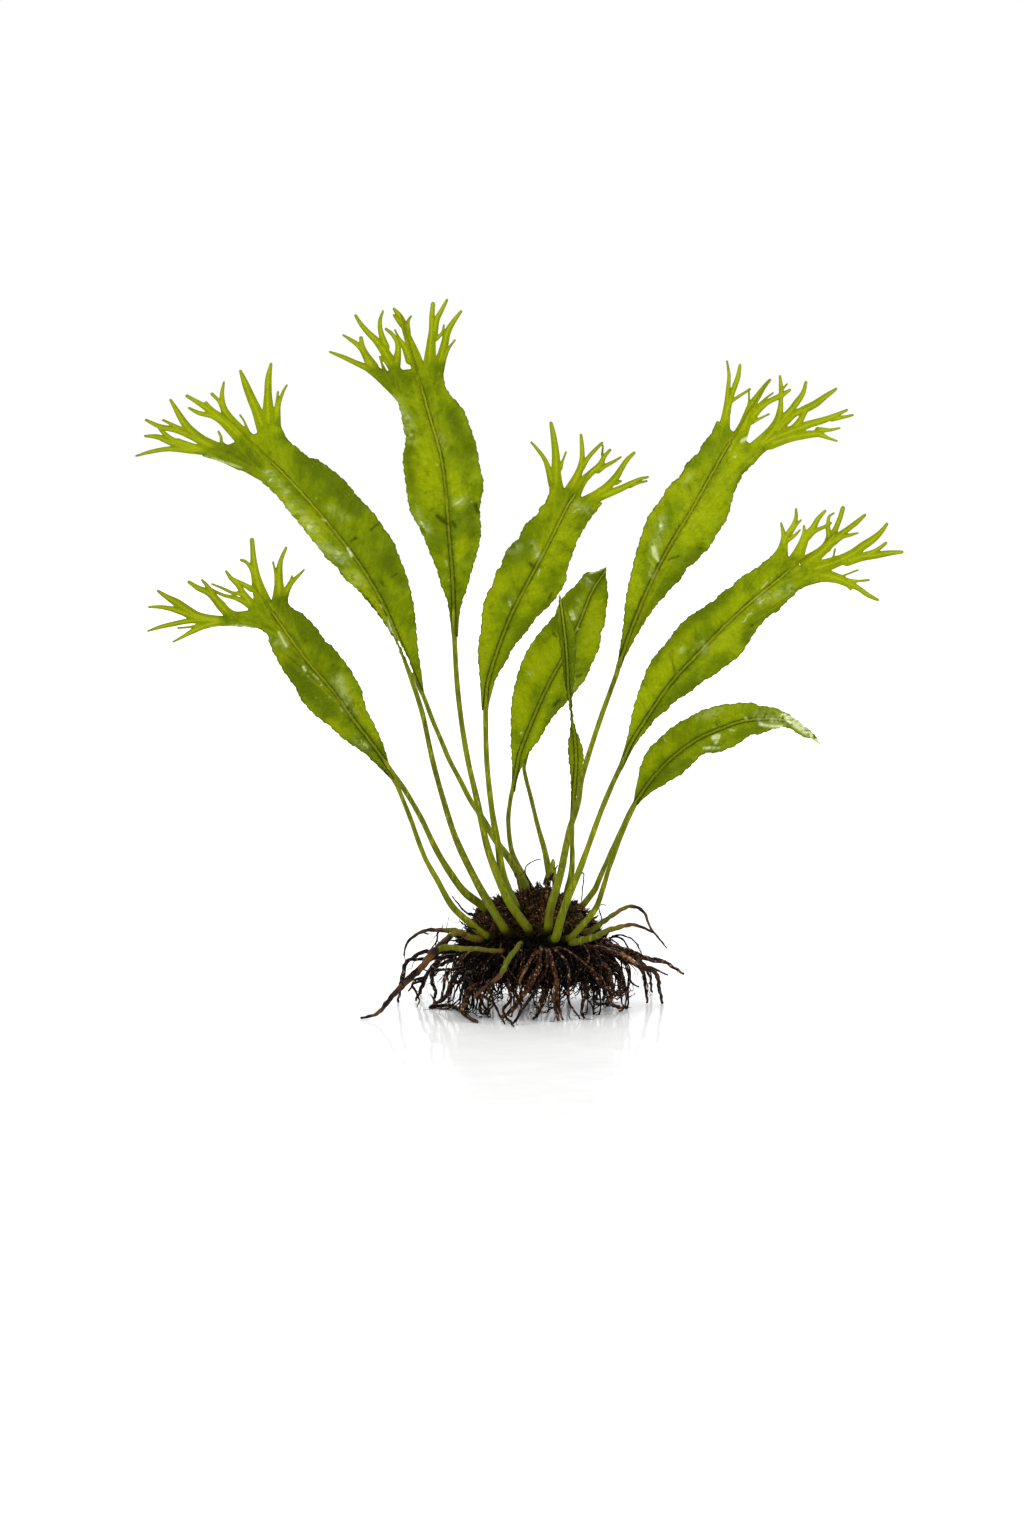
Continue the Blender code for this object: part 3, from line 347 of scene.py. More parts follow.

# %% [markdown]
# ## Drawing a frond
# Each frond is drawn: the stipe and midrib as lines with a depth, the blade as two margins,
# and the crest as a bundle of tapering fingers. The lines are column, row and depth; a finger runs
# from its tip inwards as column, row and width. Marks are dark or pale patches on the blade, and
# "girth" is a slender stipe's share of the usual thickness.

# %% The fronds
# Of the marks, the dark ones are spots of the leaf itself; the others are painted: painted shade, painted light,
# painted glints, which also whiten the dry tips, and a painted sheen. The shade value sets how much painted light falls
# on each whole blade.
FRONDS = {
    "high_left": {
        "girth": 0.9,
        "stipe": "526,888,3 516.5,871,3.7 508,857,4.3 494.5,839,5 483.6,820,5.6 470.3,800,6.2 460,780,7"
        " 449.4,760,8 441,740,8.6 432.5,720,9.2 425,700,9.8 423,695,10",
        "midrib": "422,694,10 411,668,11.3 398,637,13 383,603,15.3 362,567,18 337,534,21.8 313,505,25.2"
        " 290,480,28.7 272,462,32",
        "left": "421,694 416.5,683 413,672 409,660 404,650 398,640 387,625 376.5,610 366.5,597 356,588"
        " 343,577 337,567 327,559 320,549 310,537 300,524 288,510 280,499 270,489 258,479 240,469"
        " 220,461 203,456",
        "right": "424,694 421,670 418,650 416,625 413,602 407,577 400,559 393,541 385,530 375,515 365,504"
        " 358,497 345,481 332,470 318,460 308,457 300,450 288,440 283,431 279,424",
        "fingers": [
            "136,456,1.5 150,452,3.5 168,449,4.5 190,450,7 212,452,9 240,462,16",
            "145,436,2 158,437,5 170,442,6 186,447,7 205,450,9",
            "146,420,2.5 160,426.5,4.5 178,430.5,6 195,438,7 212,447,9",
            "160,429,3 165,434,4 174,440,4 186,444,4.5 200,450,8",
            "163,420,2 171,424,3 182,430,5",
            "170.5,400,2.5 177,411,5 183,421,7 190,430,8.5 203,440.5,9.5 222,451,13",
            "178,439,1.5 190,444,2 203,450,4",
            "187,396,3 198,402.5,4.5 208,409,6.5 220,418,9 232.5,429.5,12 248,444.5,16 262,458,20",
            "206,402,2 211,409,4", "189,408,2 199,413,4 212,416,5 224,422,7",
            "212,394,3 218,400,3 222,406,4",
            "224,382,1.5 222,394,4 223,406,6 228,417,9 238,430,13 252,444,16",
            "240,415,1.2 244,421,1.5 248,431,3", "218.5,431.5,2 221,437,2.5 222,443,3 229,448,4",
            "240.5,371,2.5 245.5,384,6.5 251.2,398,8.5 257,411,10 262,425,12.5 268,440,16",
            "271,364,2.5 268.5,378,6 268,394,7.5 268.3,410,11 269,428,15 271,448,20",
            "278,392,2 277,402,3 276,414,6", "287,385,1.5 283,392,2.5 279,404,3.5 277,416,7 276,430,10",
        ],
        "shade": 0.38, "tilt": 0.30, "fold": 0.10, "curl": 0.20, "ripple": 0.13,
        "deep": [
            "300,455,14 330,475,20 355,505,22", "388,560,16 404,585,10", "385,625,8 400,655,5",
            "230,455,10 260,465,8",
        ],
        "bright": [
            "350,575,12 380,610,14 405,650,9 414,680,5", "285,500,10 320,540,10", "275,430,10 250,440,8",
        ],
        "dark": [
            "351,542,2 356,538,4", "371,530,3 378,524,2 382,521,1", "382,582,3 384,586,2",
            "398,573,2 392,577,1.5",
        ],
        "pale": [
            "268,482,3 272,479,2", "348,548,3 352,556,4", "381,605,2 383,609,2",
            "388,618,2 391,628,3 396,640,3 404,656,2 412,674,2", "317,498,2", "322,519,2 326,521,2",
            "205,456,2 225,462,3 243,468,2",
        ],
        "sheen": [
            "268,472,6 285,490,8", "290,505,12 312,530,12", "322,545,10 345,560,8", "330,508,6 345,518,6",
            "350,575,10 362,583,8",
        ],
    },
    "high_left_young": {
        "stipe": "505,930,-13 488,902,-9 475.6,880,-5.5 456.4,840,0 443.4,800,5 432.5,760,9 424,720,12"
        " 418.4,700,13.5 412.3,682,14.8",
        "midrib": "411.8,679,15 400,650,17 389,628,19 375,606,21 355,577,24 336,549,28 322,528,31",
        "left": "410,680 406.5,670 402.7,660 399,650 395,640 391,634 378,614 358,590 340,566 327,542"
        " 322,528",
        "right": "414,679 404,655 392,630 376,604 360,580 344,554 322,528",
        "fingers": [], "shade": 0.3, "tilt": 0.30, "fold": 0.10, "curl": 0, "ripple": 0,
        "pale": ["390,632,3 386,622,3"],
        "sheen": ["392,640,4 400,660,3"],
    },
    "low_left": {
        "stipe": "483,906,-5 464.5,892,-7 450.3,873,-9 436.4,850,-11 421,818,-13 406,792,-14"
        " 396.5,778,-15",
        "midrib": "394,775,-15 375,748,-16.8 355,722,-19.6 335,694,-22.6 312,667,-25.8 290,638,-30 272,612,-34",
        "left": "391,779 386,771 380,765 370,757 360,750 345,740 335,731 330,726 320,719 310,710 300,698"
        " 297,690 290,680 283,670 277,659 270,645 268,636 262,630 250,627 235,625 225,618",
        "right": "396,778 390,767 385,750 380,737 372,720 367,711 363,697 361,688 356,680 350,669 340,656"
        " 332,646 325,641 318,630 309,620 300,612 293,609 289,604 287,598",
        "fingers": [
            "173,642,1.5 184,636,3 193,631,5 204,626,6 220,622,8 240,622,9",
            "178,628,1.2 190,627,2 201,625,4",
            "148,631,1.5 160,627,3.5 173,624,4.5 188,621,5 203,620,7 222,621,8",
            "149,607,2 160,607,3.5 172,609,5 184,613,6 194,617,7 210,620,8",
            "158,591,2.5 167,597,5 177,603,8 187,610,9 198,616,8 215,619,7 235,620,9 258,618,16",
            "189,582,3 198,588,5 207,592,6 214,598,6 222,605,7",
            "202,580,2 208,587,4 214,597,7 222,607,9 233,616,10 250,618,14",
            "212,584,1.5 222,588,2.5 233,593,3 242,594,5 250,602,8",
            "213,590,2 223,595,3 235,598,4 247,603,7 258,610,12",
            "226,571,2 231,578,4 238,585,5 243,593,6 250,603,8 258,612,10",
            "241,560,2.5 246,562,3 251,568,4 255,576,6",
            "252,540,4 253,553,5 254,565,7 256,577,9 259,590,13 264,606,18",
            "235,580,3 243,584,4 251,589,6", "273,562,1.5 275,571,2 277,582,4",
            "286,548,2.5 281,560,4 279,572,7 279,585,9 279,600,14 278,614,18",
            "304,570,1.5 298,576,3 291,583,5 286,592,7 281,603,12", "292,576,1.5 290,584,3",
        ],
        "shade": 0.28, "tilt": -0.32, "fold": 0.10, "curl": -0.22, "ripple": 0.14,
        "deep": [
            "285,605,16 310,630,20 335,655,14", "292,665,18 312,690,20 330,715,14", "350,745,10 370,758,6",
        ],
        "bright": ["345,680,14 362,710,14 375,735,8", "330,722,8 340,730,5"],
        "dark": ["333,665,3", "305,640,2", "350,720,2"],
        "pale": [
            "278,632,3 286,646,3", "303,667,4 305,671,3", "308,676,2", "313,674,2 318,679,2", "321,685,3",
            "329,697,2", "316,698,2", "342,711,2 340,708,1.5", "351,723,1.5", "360,740,2 367,747,2",
            "266,634,2 255,629,3 240,626,3 225,626,2 210,627,2",
        ],
        "sheen": ["338,680,12 345,695,10 352,710,8", "270,640,6 285,645,5", "357,740,6 368,748,4"],
    },
    "low_left_young": {
        "girth": 0.9,
        "stipe": "484,935,-11 471,924,-11 452,906,-11 437.3,880,-10.6 426,860,-10.2 418,840,-9.8"
        " 411,820,-9.5 397,785,-9",
        "midrib": "393.5,779,-9 381,763,-9.5 366,744,-11 352,725,-13 338,706,-15.5 326,690,-18",
        "left": "392,780 378,766 362,750 346,728 334,708 326,690",
        "right": "395,778 385,761 373,742 360,722 346,703 326,690",
        "fingers": [], "shade": 0.2, "tilt": -0.3, "fold": 0.10, "curl": 0, "ripple": 0,

    },
    "top": {
        "stipe": "529,930,-14 521,919,-14 509,902,-13 499,880,-11 491.5,860,-9 485.5,840,-7.3"
        " 477,800,-4.2 467.8,760,-1.8 461.2,720,0.2 456.8,680,1.9 454.5,639,3.5",
        "midrib": "454.4,635,3.5 453,580,5.4 449,530,7.4 446,490,8.8 441,455,10 431,420,11.5 421,385,13",
        "left": "452,637 450,618 447,600 441,585 437,570 430,553 425,540 418,525 411,513 408,500 406,485"
        " 404,470 403,457 406,440 404,430 401,413 396,398 388,388 378,380 371,372",
        "right": "458,637 459,618 462,602 467,588 471,573 475,560 479,545 481,530 480,518 480,505 483,490"
        " 483,480 480,468 478,455 475,441 470,427 464,411 455,400 448,392 444,382 443,374 443,366",
        "fingers": [
            "330,352,2 343,357,4 356,363,5 369,369,7 384,380,10 402,394,16",
            "343,335,1.5 351,340,3.5 359,346,5 366,355,6 374,366,8", "361,338,3.5 362.5,347,5 366,356,7 372.5,366.5,8 388,382.5,11",
            "380,357,1.5 382,364,2 385,372,4", "380,357,1.5 386,362,3 392,369,5",
            "355.5,315.5,2.5 361.3,324.6,4 369.3,333.8,5.5 377.5,342,7 386.5,354.5,9.5 394,368,11 404,386,14",
            "383,311,1.5 380,321,3.5 381,333,5 386,347,7",
            "386,329,2.5 392,334,3.5 397,342,4 398,352,6 396,364,9", "395,330,1 399,338,2.5 405,348,6 410,360,9",
            "394,309,2.5 399.5,316,5.5 404,325,6.5 407,335,7 411,346,9.5 415,358,12.5 420,374,14 424,392,20",
            "393.5,315,1.5 397,319,3.5 402,325,5", "366,360,3 371,367,5",
            "411,316,1.5 408,322,3 408,332,5",
            "433,304,4 432,316,5 432,330,6 431,345,9 430,360,12 430,376,16 430,394,22",
            "447,300,2.3 441.5,310.5,4 436.7,320,5.5 434.5,333,6.5",
            "461,311.5,2.5 453.5,321.5,4.5 447.5,332,6.5 444.6,344,7.5 441.5,356,9 437,370,12 436,386,16",
            "444,325,1.5 442,333,2.5 436,339,4", "455,340,1.5 449,348,2.5 444,358,5 440,370,8",
        ],
        "shade": 0.5, "tilt": 0.26, "fold": 0.12, "curl": -0.16, "ripple": 0.15,
        "deep": [
            "410,450,10 412,480,12", "470,505,12 472,530,12", "440,372,5 437,392,5",
            "452,415,12 470,450,10", "448,600,6 455,630,5",
        ],
        "bright": ["420,460,16 430,500,14", "455,480,14 460,505,10", "460,545,10 457,560,8"],
        "dark": ["437,516,4 444,521,5 448,524,4", "453,522,4 456,527,3", "476,505,5 478,512,4"],
        "pale": [
            "411,435,4", "436,464,1.5 438,465,2", "472,502,2", "446,560,2 447,566,2", "449,580,2",
            "421,522,3 426,530,2",
        ],
        "sheen": [
            "395,400,8 408,425,10 412,440,8", "415,510,6 428,530,8", "440,435,6 443,445,5",
            "458,502,8 466,500,6",
        ],
    },
    "middle": {
        "stipe": "515,905,-9 509,892,-7.5 501.7,870,-6.5 498,845,-6.5 491.9,810,-8 486.7,760,-11"
        " 485.5,709,-13",
        "midrib": "485,705,-13 488,680,-14 499,645,-15.6 513,610,-17.8 533,572,-20.3 550,540,-22.5"
        " 566,508,-25 575,494,-26",
        "left": "482,710 481,695 480,680 479,668 478,655 479,640 481,630 482,615 484,603 488,592 493,584"
        " 496,572 501,566 504,556 510,546 519,538 523,528 530,520 537,515 540,508 544,504 548,497 550,488",
        "right": "488,712 489,703 492,692 495,681 500,671 507,660 510,653 515,645 527,631 536,618 548,607"
        " 554,600 561,590 566,580 567,570 570,561 574,550 577,541 582,532 588,522 596,511 603,503",
        "fingers": [
            "531,442,1.5 538,450,3 545,460,4 549,471,6 553,484,9",
            "551,423,3 553,433,5 555,447,6.5 556,460,8 556,475,10 557,490,14 560,505,20",
            "566,452,1.5 563,460,2 560,468,5", "581,435,2.5 582,447,4 582,460,5 579,472,7 573,484,9 567,497,14",
            "602,443,2.5 595,450,3.5 588,458,4 582,467,6",
            "610,450,2.5 604,457,4 600,465,6 592,472,6 583,481,8 575,494,12 570,506,18", "603,446,1.2 602,455,2",
            "621,457,1.5 613,462,3 605,466,4 598,471,5",
            "634,453,3 627,460,4.5 621,469,5.5 616,477,7 608,486,8 598,494,9 586,502,12",
            "648,477,2 640,479,3 632,483,5 622,488,6 610,493,7 598,498,8 586,504,10", "647,481,1.5 638,483,2.5 630,486,4",
            "599,489,1.5 600,494,3", "621,481,2 616,483,4",
        ],
        "shade": 0.68, "tilt": -0.28, "fold": 0.12, "curl": -0.18, "ripple": 0.14,
        "deep": [
            "495,680,8 508,655,10 530,622,12 552,600,10", "505,550,14 515,540,12", "533,565,5 538,558,4",
        ],
        "bright": [
            "484,640,10 488,610,12 500,590,12", "540,560,16 560,530,18 575,505,12",
            "520,600,10 535,590,10",
        ],
        "dark": ["530,563,3 534,567,3", "497,630,2", "549,598,3 552,592,2", "508,628,3", "541,566,2"],
        "pale": [
            "510,605,3 509,598,2", "536,557,2 538,553,2", "538,575,2 540,568,2", "531,543,1.5",
            "573,512,2 580,508,2",
        ],
        "sheen": ["511,549,8 519,546,6", "532,545,8 538,556,4", "510,600,6", "575,505,8 590,510,6"],
    },
    "middle_plain": {
        "girth": 0.85,
        "stipe": "533,892,6 522,873,8 512,852,9.5 508.3,822,10.6 510.4,800,11.2 512.4,790,11.5",
        "midrib": "512.8,788,11.5 517,768,12 521,750,12 537,710,13.2 551,680,14.5 562,660,15.6"
        " 579,624,19 592,592,22 607,569,27",
        "left": "510,792 512,780 512,760 511,745 511,730 511,715 512,700 515,685 519,670 525,655 532,643"
        " 540,632 548,623 556,613 560,601 570,590 578,583 584,574 592,572 600,570 607,566",
        "right": "515,792 517,780 521,768 526,758 530,751 539,740 544,731 550,721 558,711 567,702"
        " 573,695 578,688 586,678 590,668 596,655 600,645 601,633 605,623 606,610 608,597 607,585"
        " 606,572 607,566",
        "fingers": [], "shade": 0.9, "tilt": 0.28, "fold": 0.14, "curl": 0, "ripple": 0,
        "deep": ["545,735,10 560,700,12", "555,625,14 565,605,10 580,590,10", "590,580,10 600,575,10"],
        "bright": ["520,720,14 525,690,16 540,660,16 555,640,8", "585,650,12 590,620,12 600,600,8"],
        "dark": ["555,705,4 560,700,3", "553,634,3 556,637,2", "577,677,3 582,675,2", "601,575,3"],
        "pale": [
            "573,618,7 571,612,5", "578,629,3.5", "574,655,2 575,662,3", "530,675,2", "521,733,3",
            "548,691,1.5", "590,582,3 586,578,2", "590,574,3 600,569,5 606,566,4 609,565,2.5",
        ],
        "sheen": ["584,580,5 590,585,6", "580,600,6 576,615,6", "530,672,5", "571,650,3 573,690,3"],
    },
    "middle_young": {
        "girth": 0.8,
        "stipe": "549,874,9 545,852,11 537.5,825,13.5 531.5,800,15.5 526.3,780,17 523.8,768,17.5",
        "midrib": "524,766,17.8 528,750,19 538,722,21.5 552,690,24 566,660,27 580,635,30",
        "left": "522.5,767 526,748 535,722 549,690 564,660 580,635",
        "right": "525.5,767 530,750 541,724 556,692 569,664 580,635",
        "fingers": [], "shade": 0.4, "tilt": 0.25, "fold": 0.12, "curl": 0, "ripple": 0,

    },
    "twisted": {
        "girth": 0.85,
        "stipe": "567,893,5 571.5,872,5.5 572.3,855,6 572,840,6.3 572.3,828,6.5 572,818,6.6",
        "midrib": "572.3,812,6.8 573.5,790,7 575.5,765,7.5 575,745,7.1 571.7,718,5.9 568,690,5.4"
        " 566,650,5 562,615,5.8 559,593,7",
        "left": "570.5,813 571,800 571,782 569.8,768 568.5,757 568,745 569.5,735 570.5,727 570.5,715"
        " 568,700 564,678 562,660 560,645 558,630 557,612 559,601 559,592",
        "right": "574,813 576,797 578,790 580.5,778 582.5,766 583.5,756 582.5,748 580,740 576.5,731"
        " 574,723 572.5,712 572,700 574,682 575,668 576,655 576,640 573,625 567,612 562,602 559,592",
        "fingers": [], "shade": 0.35, "tilt": -0.55, "fold": 0.2, "curl": 0, "ripple": 0,
        "deep": ["562,620,8 566,660,8 570,700,5"],
        "bright": ["576,745,8 577,770,8"],
        "dark": ["571,700,2 571,716,2"],
        "pale": ["574,740,1.5"],
        "sheen": ["573,650,4"],
    },
    "high_right": {
        "stipe": "548,929,-13.5 550,910,-12.8 557.5,885,-10.5 561.4,870,-8.7 567.3,840,-5.5 570,828,-4.6"
        " 574.7,814,-3.5 578.7,800,-2.5 581.5,780,-1.2 587,760,0.3 600,720,2.7 617,673,5.5",
        "midrib": "617,670,6 627,640,7.6 640,606,9.8 655,573,12.4 671,543,15.2 690,512,18.6 708,480,22.3"
        " 722,455,25.5 730,442,27.5",
        "left": "616,670 618,660 620,647 622,635 624,618 625,605 628,587 632,570 636,553 640,540 644,528"
        " 648,517 655,507 662,498 666,490 672,483 681,475 685,466 690,460 699,452 703,443 708,438 713,430"
        " 717,421",
        "right": "621,668 625,657 630,648 635,638 640,630 647,618 653,610 657,604 665,596 670,589 680,580"
        " 684,573 688,567 697,561 700,556 708,549 713,541 718,532 725,522 729,512 732,500 735,490 740,480"
        " 743,474 750,467 757,460 763,452",
        "fingers": [
            "727,361,1.5 729,375,3 728,390,4 727,402,5 726,415,8 724,430,12 724,446,18",
            "740,365,2.5 738,377,4.5 734,388,5 730,400,5 727,412,7", "750,389,2 741,395,2.5 730,402,3.5",
            "749,392,1.2 749,404,2",
            "770,380,2.5 764,387,4 758,396,6 752,405,8 748,416,10 744,427,12 738,440,16 730,454,20",
            "790,390,2.5 780,396,5 768,402,5 758,410,7 750,420,9", "773,393,1.2 765,399,1.8 757,407,3",
            "769,414,1.2 761,418,2 752,422,4",
            "780,376,2 781,388,4 781,400,4 780,411,6 777,422,8 770,434,12 758,446,14", "787,384,1.2 782,390,2",
            "806,382,2.5 803,393,4.5 797,402,6 790,411,6 782,420,8 774,431,12",
            "836,389,2.5 826,396,5 815,404,7 805,409,7 796,413,6 786,421,8 776,432,10", "806,409,5 801,419,6 794,429,8",
            "847,410,2 836,415,4 824,420,6 810,424,7 797,429,9 783,434,11 768,441,13 752,452,16",
            "853,415,2 844,417,3 832,419,5", "840,428,1.5 830,430,3 818,430,6",
            "837,441,1.5 828,438,3 818,434,6 804,435,8 788,438,9 770,444,11",
        ],
        "shade": 1.0, "tilt": -0.30, "fold": 0.12, "curl": 0.18, "ripple": 0.14,
        "deep": [
            "640,625,8 655,600,10 680,575,12 700,550,10", "668,480,10 690,455,10 710,430,8",
            "745,470,8 735,490,8",
        ],
        "bright": [
            "645,590,14 668,545,16 690,510,16 706,480,12","632,600,12 640,570,12", "690,520,16 715,500,18 735,455,14", "695,480,14 705,465,10"],
        "dark": ["657,565,3", "668,560,2 678,556,2", "700,548,3", "640,650,3", "683,505,1.5"],
        "pale": [
            "653,548,6 655,555,6 658,561,3", "649,572,3 651,578,2", "684,508,2", "660,526,4", "742,441,5 748,437,4",
            "730,450,2", "735,457,3",
        ],
        "sheen": ["664,518,7 658,535,8 654,548,10", "685,482,4 690,476,3", "649,560,4 650,575,5"],
    },
    "low_right": {
        "stipe": "556,938,-16.5 560,922,-16.8 567,900,-16.5 578,874,-16 587,850,-15.5 600,814,-15.5"
        " 612,785,-16 623,762,-16.5",
        "midrib": "625,758,-16.7 632,742,-17 651,712,-18 672,682,-19.4 697,655,-21.4 723,628,-24 750,603,-27"
        " 778,580,-30.6 790,570,-32",
        "left": "617,770 620,762 624,750 628,735 631,720 634,706 637,697 640,687 643,680 648,667 654,657"
        " 660,650 667,642 672,635 678,627 685,620 694,613 700,610 705,606 710,603 716,599 722,592 730,588"
        " 735,583 740,578 750,572 758,567 765,561 772,556 778,548",
        "right": "622,770 626,762 632,750 640,738 650,726 657,717 666,711 672,704 680,698 690,692 697,686"
        " 705,680 716,674 720,670 730,663 739,656 745,648 750,640 757,629 763,622 770,615 778,611 785,603"
        " 793,596 800,589 810,585 820,582",
        "fingers": [
            "781,523,1.5 783,531,3.5 784,540,6 782,550,9 777,562,14",
            "796,509,2 796,518,3.5 793,526,4.5 788,534,5 784,543,7 783,555,10", "801,520,1.5 796,525,3 790,533,5",
            "800,530,1.5 794,536,3 786,541,5", "804,526,2 804,534,4 801,545,7 796,556,10 790,568,14",
            "825,511,2.5 818,519,4.5 813,528,6 807,535,7 803,545,8 799,556,10", "831,523,2 824,527,3 815,531,4 808,537,6",
            "834,513,1 829,517,2.5 828,527,4 829,537,6 826,546,8 818,554,9 806,562,12",
            "843,508,4 840,518,4.5 836,528,5 831,539,7 827,548,8",
            "865,515,2.5 857,522,4.5 848,529,5 839,536,7 830,544,8 820,553,10 808,562,14",
            "858,533,1.5 850,535,3 842,537,4 834,542,6",
            "887,524,2.5 880,533,5 872,540,7 863,546,8 854,553,9 843,559,10 830,564,12 812,570,16",
            "886,543,2.5 881,547,3.5 875,551,4 866,555,6", "902,552,3 890,553,5 876,555,7 862,557,8 847,561,10",
            "835,549,1 833,559,2", "858,570,1.5 850,573,1.5 840,577,2", "869,580,2 858,581,2.5 846,581,5",
            "878,600,2.5 868,595,4.5 858,588,5 848,583,8 836,578,10 820,575,14 802,576,18", "851,590,1.5 848,585,4",
        ],
        "shade": 0.75, "tilt": 0.34, "fold": 0.10, "curl": -0.16, "ripple": 0.13,
        "deep": [
            "655,655,10 670,638,10 700,612,12 730,590,10", "650,720,8 670,700,10 695,685,10",
            "745,640,10 755,620,10 790,600,8 810,585,6",
        ],
        "bright": ["645,700,12 655,680,14 670,660,12 680,648,10", "715,645,14 735,635,10", "640,725,8"],
        "dark": ["675,672,2 672,660,1.5", "752,625,3", "662,706,2", "738,570,2"],
        "pale": [
            "752,613,2 748,615,2 745,621,2 741,622,1.5", "760,603,3 764,600,2", "692,652,2 694,650,1.5",
            "678,672,2", "772,578,2", "762,588,2 768,582,2",
        ],
        "sheen": ["760,600,8 775,595,8 790,590,6", "700,640,8 705,650,6", "682,650,6"],
    },
    "low_right_plain": {
        "girth": 0.8,
        "stipe": "571,938,-15 578,930,-14.5 594.7,910,-13 602.5,890,-12.1 608.5,870,-11.3 616,850,-11"
        " 619.5,840,-10.8 627,822,-10.5 633.5,808,-10",
        "midrib": "636,802,-10 650,782,-10.5 665,765,-12 682,750,-13.5 700,738,-16 718,730,-19"
        " 740,722,-22 762,719,-25.5 782,720,-29 800,728,-32 823,747,-35",
        "left": "633,804 634.3,798 635.5,790 637.8,780 639.5,770 642.9,760 647.9,750 652.5,745 658,740"
        " 668.6,730 680,722 690,717 700,711 710,708 720,705 730,704 740,703 753,703 760,706 771,707"
        " 780,710 788,714 797,720 805,727 812,732 818,740 823,747",
        "right": "638,805 641.8,800 647.9,795 654,790 661,786.6 670.9,780 680.4,775 685.8,770 691.5,765"
        " 696.1,760 701.5,755 706,753 717.5,752.5 724.4,750 734.3,746 745,739 750,735 760,734 770,730"
        " 778,728 785,727 793,730 800,735 805,737 812,739 818,743 823,747",
        "fingers": [], "shade": 0.55, "tilt": 0.42, "fold": 0.12, "curl": 0, "ripple": 0,
        "deep": ["650,785,8 670,772,8 690,762,8", "740,735,10 760,728,8"],
        "bright": ["650,770,12 655,755,10 670,745,10"],
        "dark": ["716,722,2 718,726,2", "690,760,2", "808,733,2 812,736,2"],
        "pale": [
            "664,738,3 666,743,2", "714,738,6 719,736,5 716,743,4", "705,748,4 712,748,4 720,748,3",
            "746,718,3 748,719,2", "731,730,3 735,731,2", "714,727,2", "760,724,4 768,726,4 782,727,4",
            "784,716,7 792,721,9 800,727,9 810,735,7 816,740,6 823,747,5", "795,716,3 805,726,4",
        ],
        "sheen": ["760,715,10 780,720,12", "700,715,8 720,712,8"],
    },
    "low_right_young": {
        "girth": 0.8,
        "stipe": "584,904,4 594.5,890,5 598.9,880,5.5 607.5,860,6.5 611.8,850,7 622,828,8 627,817,8.4"
        " 631.5,808,8.6",
        "midrib": "632.5,806,8.7 639,796,9.2 651,781,10.6 667,767,12.5 688,752,16 712,742,20",
        "left": "631.7,806 637.5,793 641.5,779 650,764 666,750 688,742 712,742",
        "right": "634.5,806 645,794 659,783 676,772 694,758 712,742",
        "fingers": [], "shade": 0.3, "tilt": 0.3, "fold": 0.12, "curl": 0, "ripple": 0,

    },
}


def numbers(text):
    """'1,2 3,4' as rows of numbers; a point marked F, on the floor, gets not-a-number."""
    return np.array([[float(n) if n != "F" else math.nan for n in point.split(",")] for point in text.split()])


print(len(FRONDS), "fronds drawn,", sum(len(f["fingers"]) for f in FRONDS.values()), "crest fingers")


# %% Smooth lines
def smooth_line(points, per_span=6):
    """A Catmull-Rom curve through the points, whatever they hold: place, width or depth."""
    points = np.asarray(points, float)
    ends = np.vstack([points[0] * 2 - points[1], points, points[-1] * 2 - points[-2]])
    fine = []
    for a, b, c, d in zip(ends, ends[1:], ends[2:], ends[3:]):
        for t in np.arange(per_span) / per_span:
            fine.append((b * 2 + (c - a) * t + (a * 2 - b * 5 + c * 4 - d) * t**2 + (b * 3 - a - c * 3 + d) * t**3) / 2)
    return np.vstack([*fine, points[-1]])


def lengths(line):
    """The distance along a line to each of its points."""
    return np.concatenate([[0.0], np.cumsum(np.linalg.norm(np.diff(line, axis=0), axis=1))])


def spread(line, steps):
    """The same line with evenly spaced points."""
    reach = lengths(line[:, :3])
    wanted = np.linspace(0, reach[-1], steps + 1)
    return np.stack([np.interp(wanted, reach, line[:, k]) for k in range(line.shape[1])], axis=1)


def sheet_line(text, per_span=6):
    """A hand-drawn line on the sheet, in millimetres, smoothed, with any further columns kept."""
    rows = numbers(text)
    rows[:, 0], rows[:, 1] = on_sheet(rows[:, 0], rows[:, 1])
    return smooth_line(rows, per_span) if len(rows) > 1 else rows


print("the highest stipe has", len(sheet_line(FRONDS["top"]["stipe"])), "points")

# %% [markdown]
# ## From a drawing to a leaf
# A leaf with a hundred fine tips is hard to fill with faces by hand. Here every point of a fine grid
# is told how far inside the drawing it is: the blade is a polygon, each finger a row of tapering
# rounds, and a smooth union joins them, which rounds the forks as a growing leaf does. The outline is
# then cut through the grid by marching squares, so each fork, web and tip comes out by itself.

# %% Distances on the grid
GRID_STEP = 0.28
JOIN_RADIUS = 0.36
LEAST_TIP = 0.2


def polygon_depth(u, v, loop):
    """How far inside a closed loop each grid point is, and negative outside it."""
    nearest = np.full(u.shape, np.inf)
    odd = np.zeros(u.shape, bool)
    for (au, av), (bu, bv) in zip(loop, np.roll(loop, -1, axis=0)):
        du, dv = bu - au, bv - av
        share = np.clip(((u - au) * du + (v - av) * dv) / max(du * du + dv * dv, 1e-12), 0, 1)
        nearest = np.minimum(nearest, (u - au - share * du) ** 2 + (v - av - share * dv) ** 2)
        if av != bv:
            odd ^= ((av > v) != (bv > v)) & (u < au + du * (v - av) / dv)
    return np.where(odd, 1.0, -1.0) * np.sqrt(nearest)


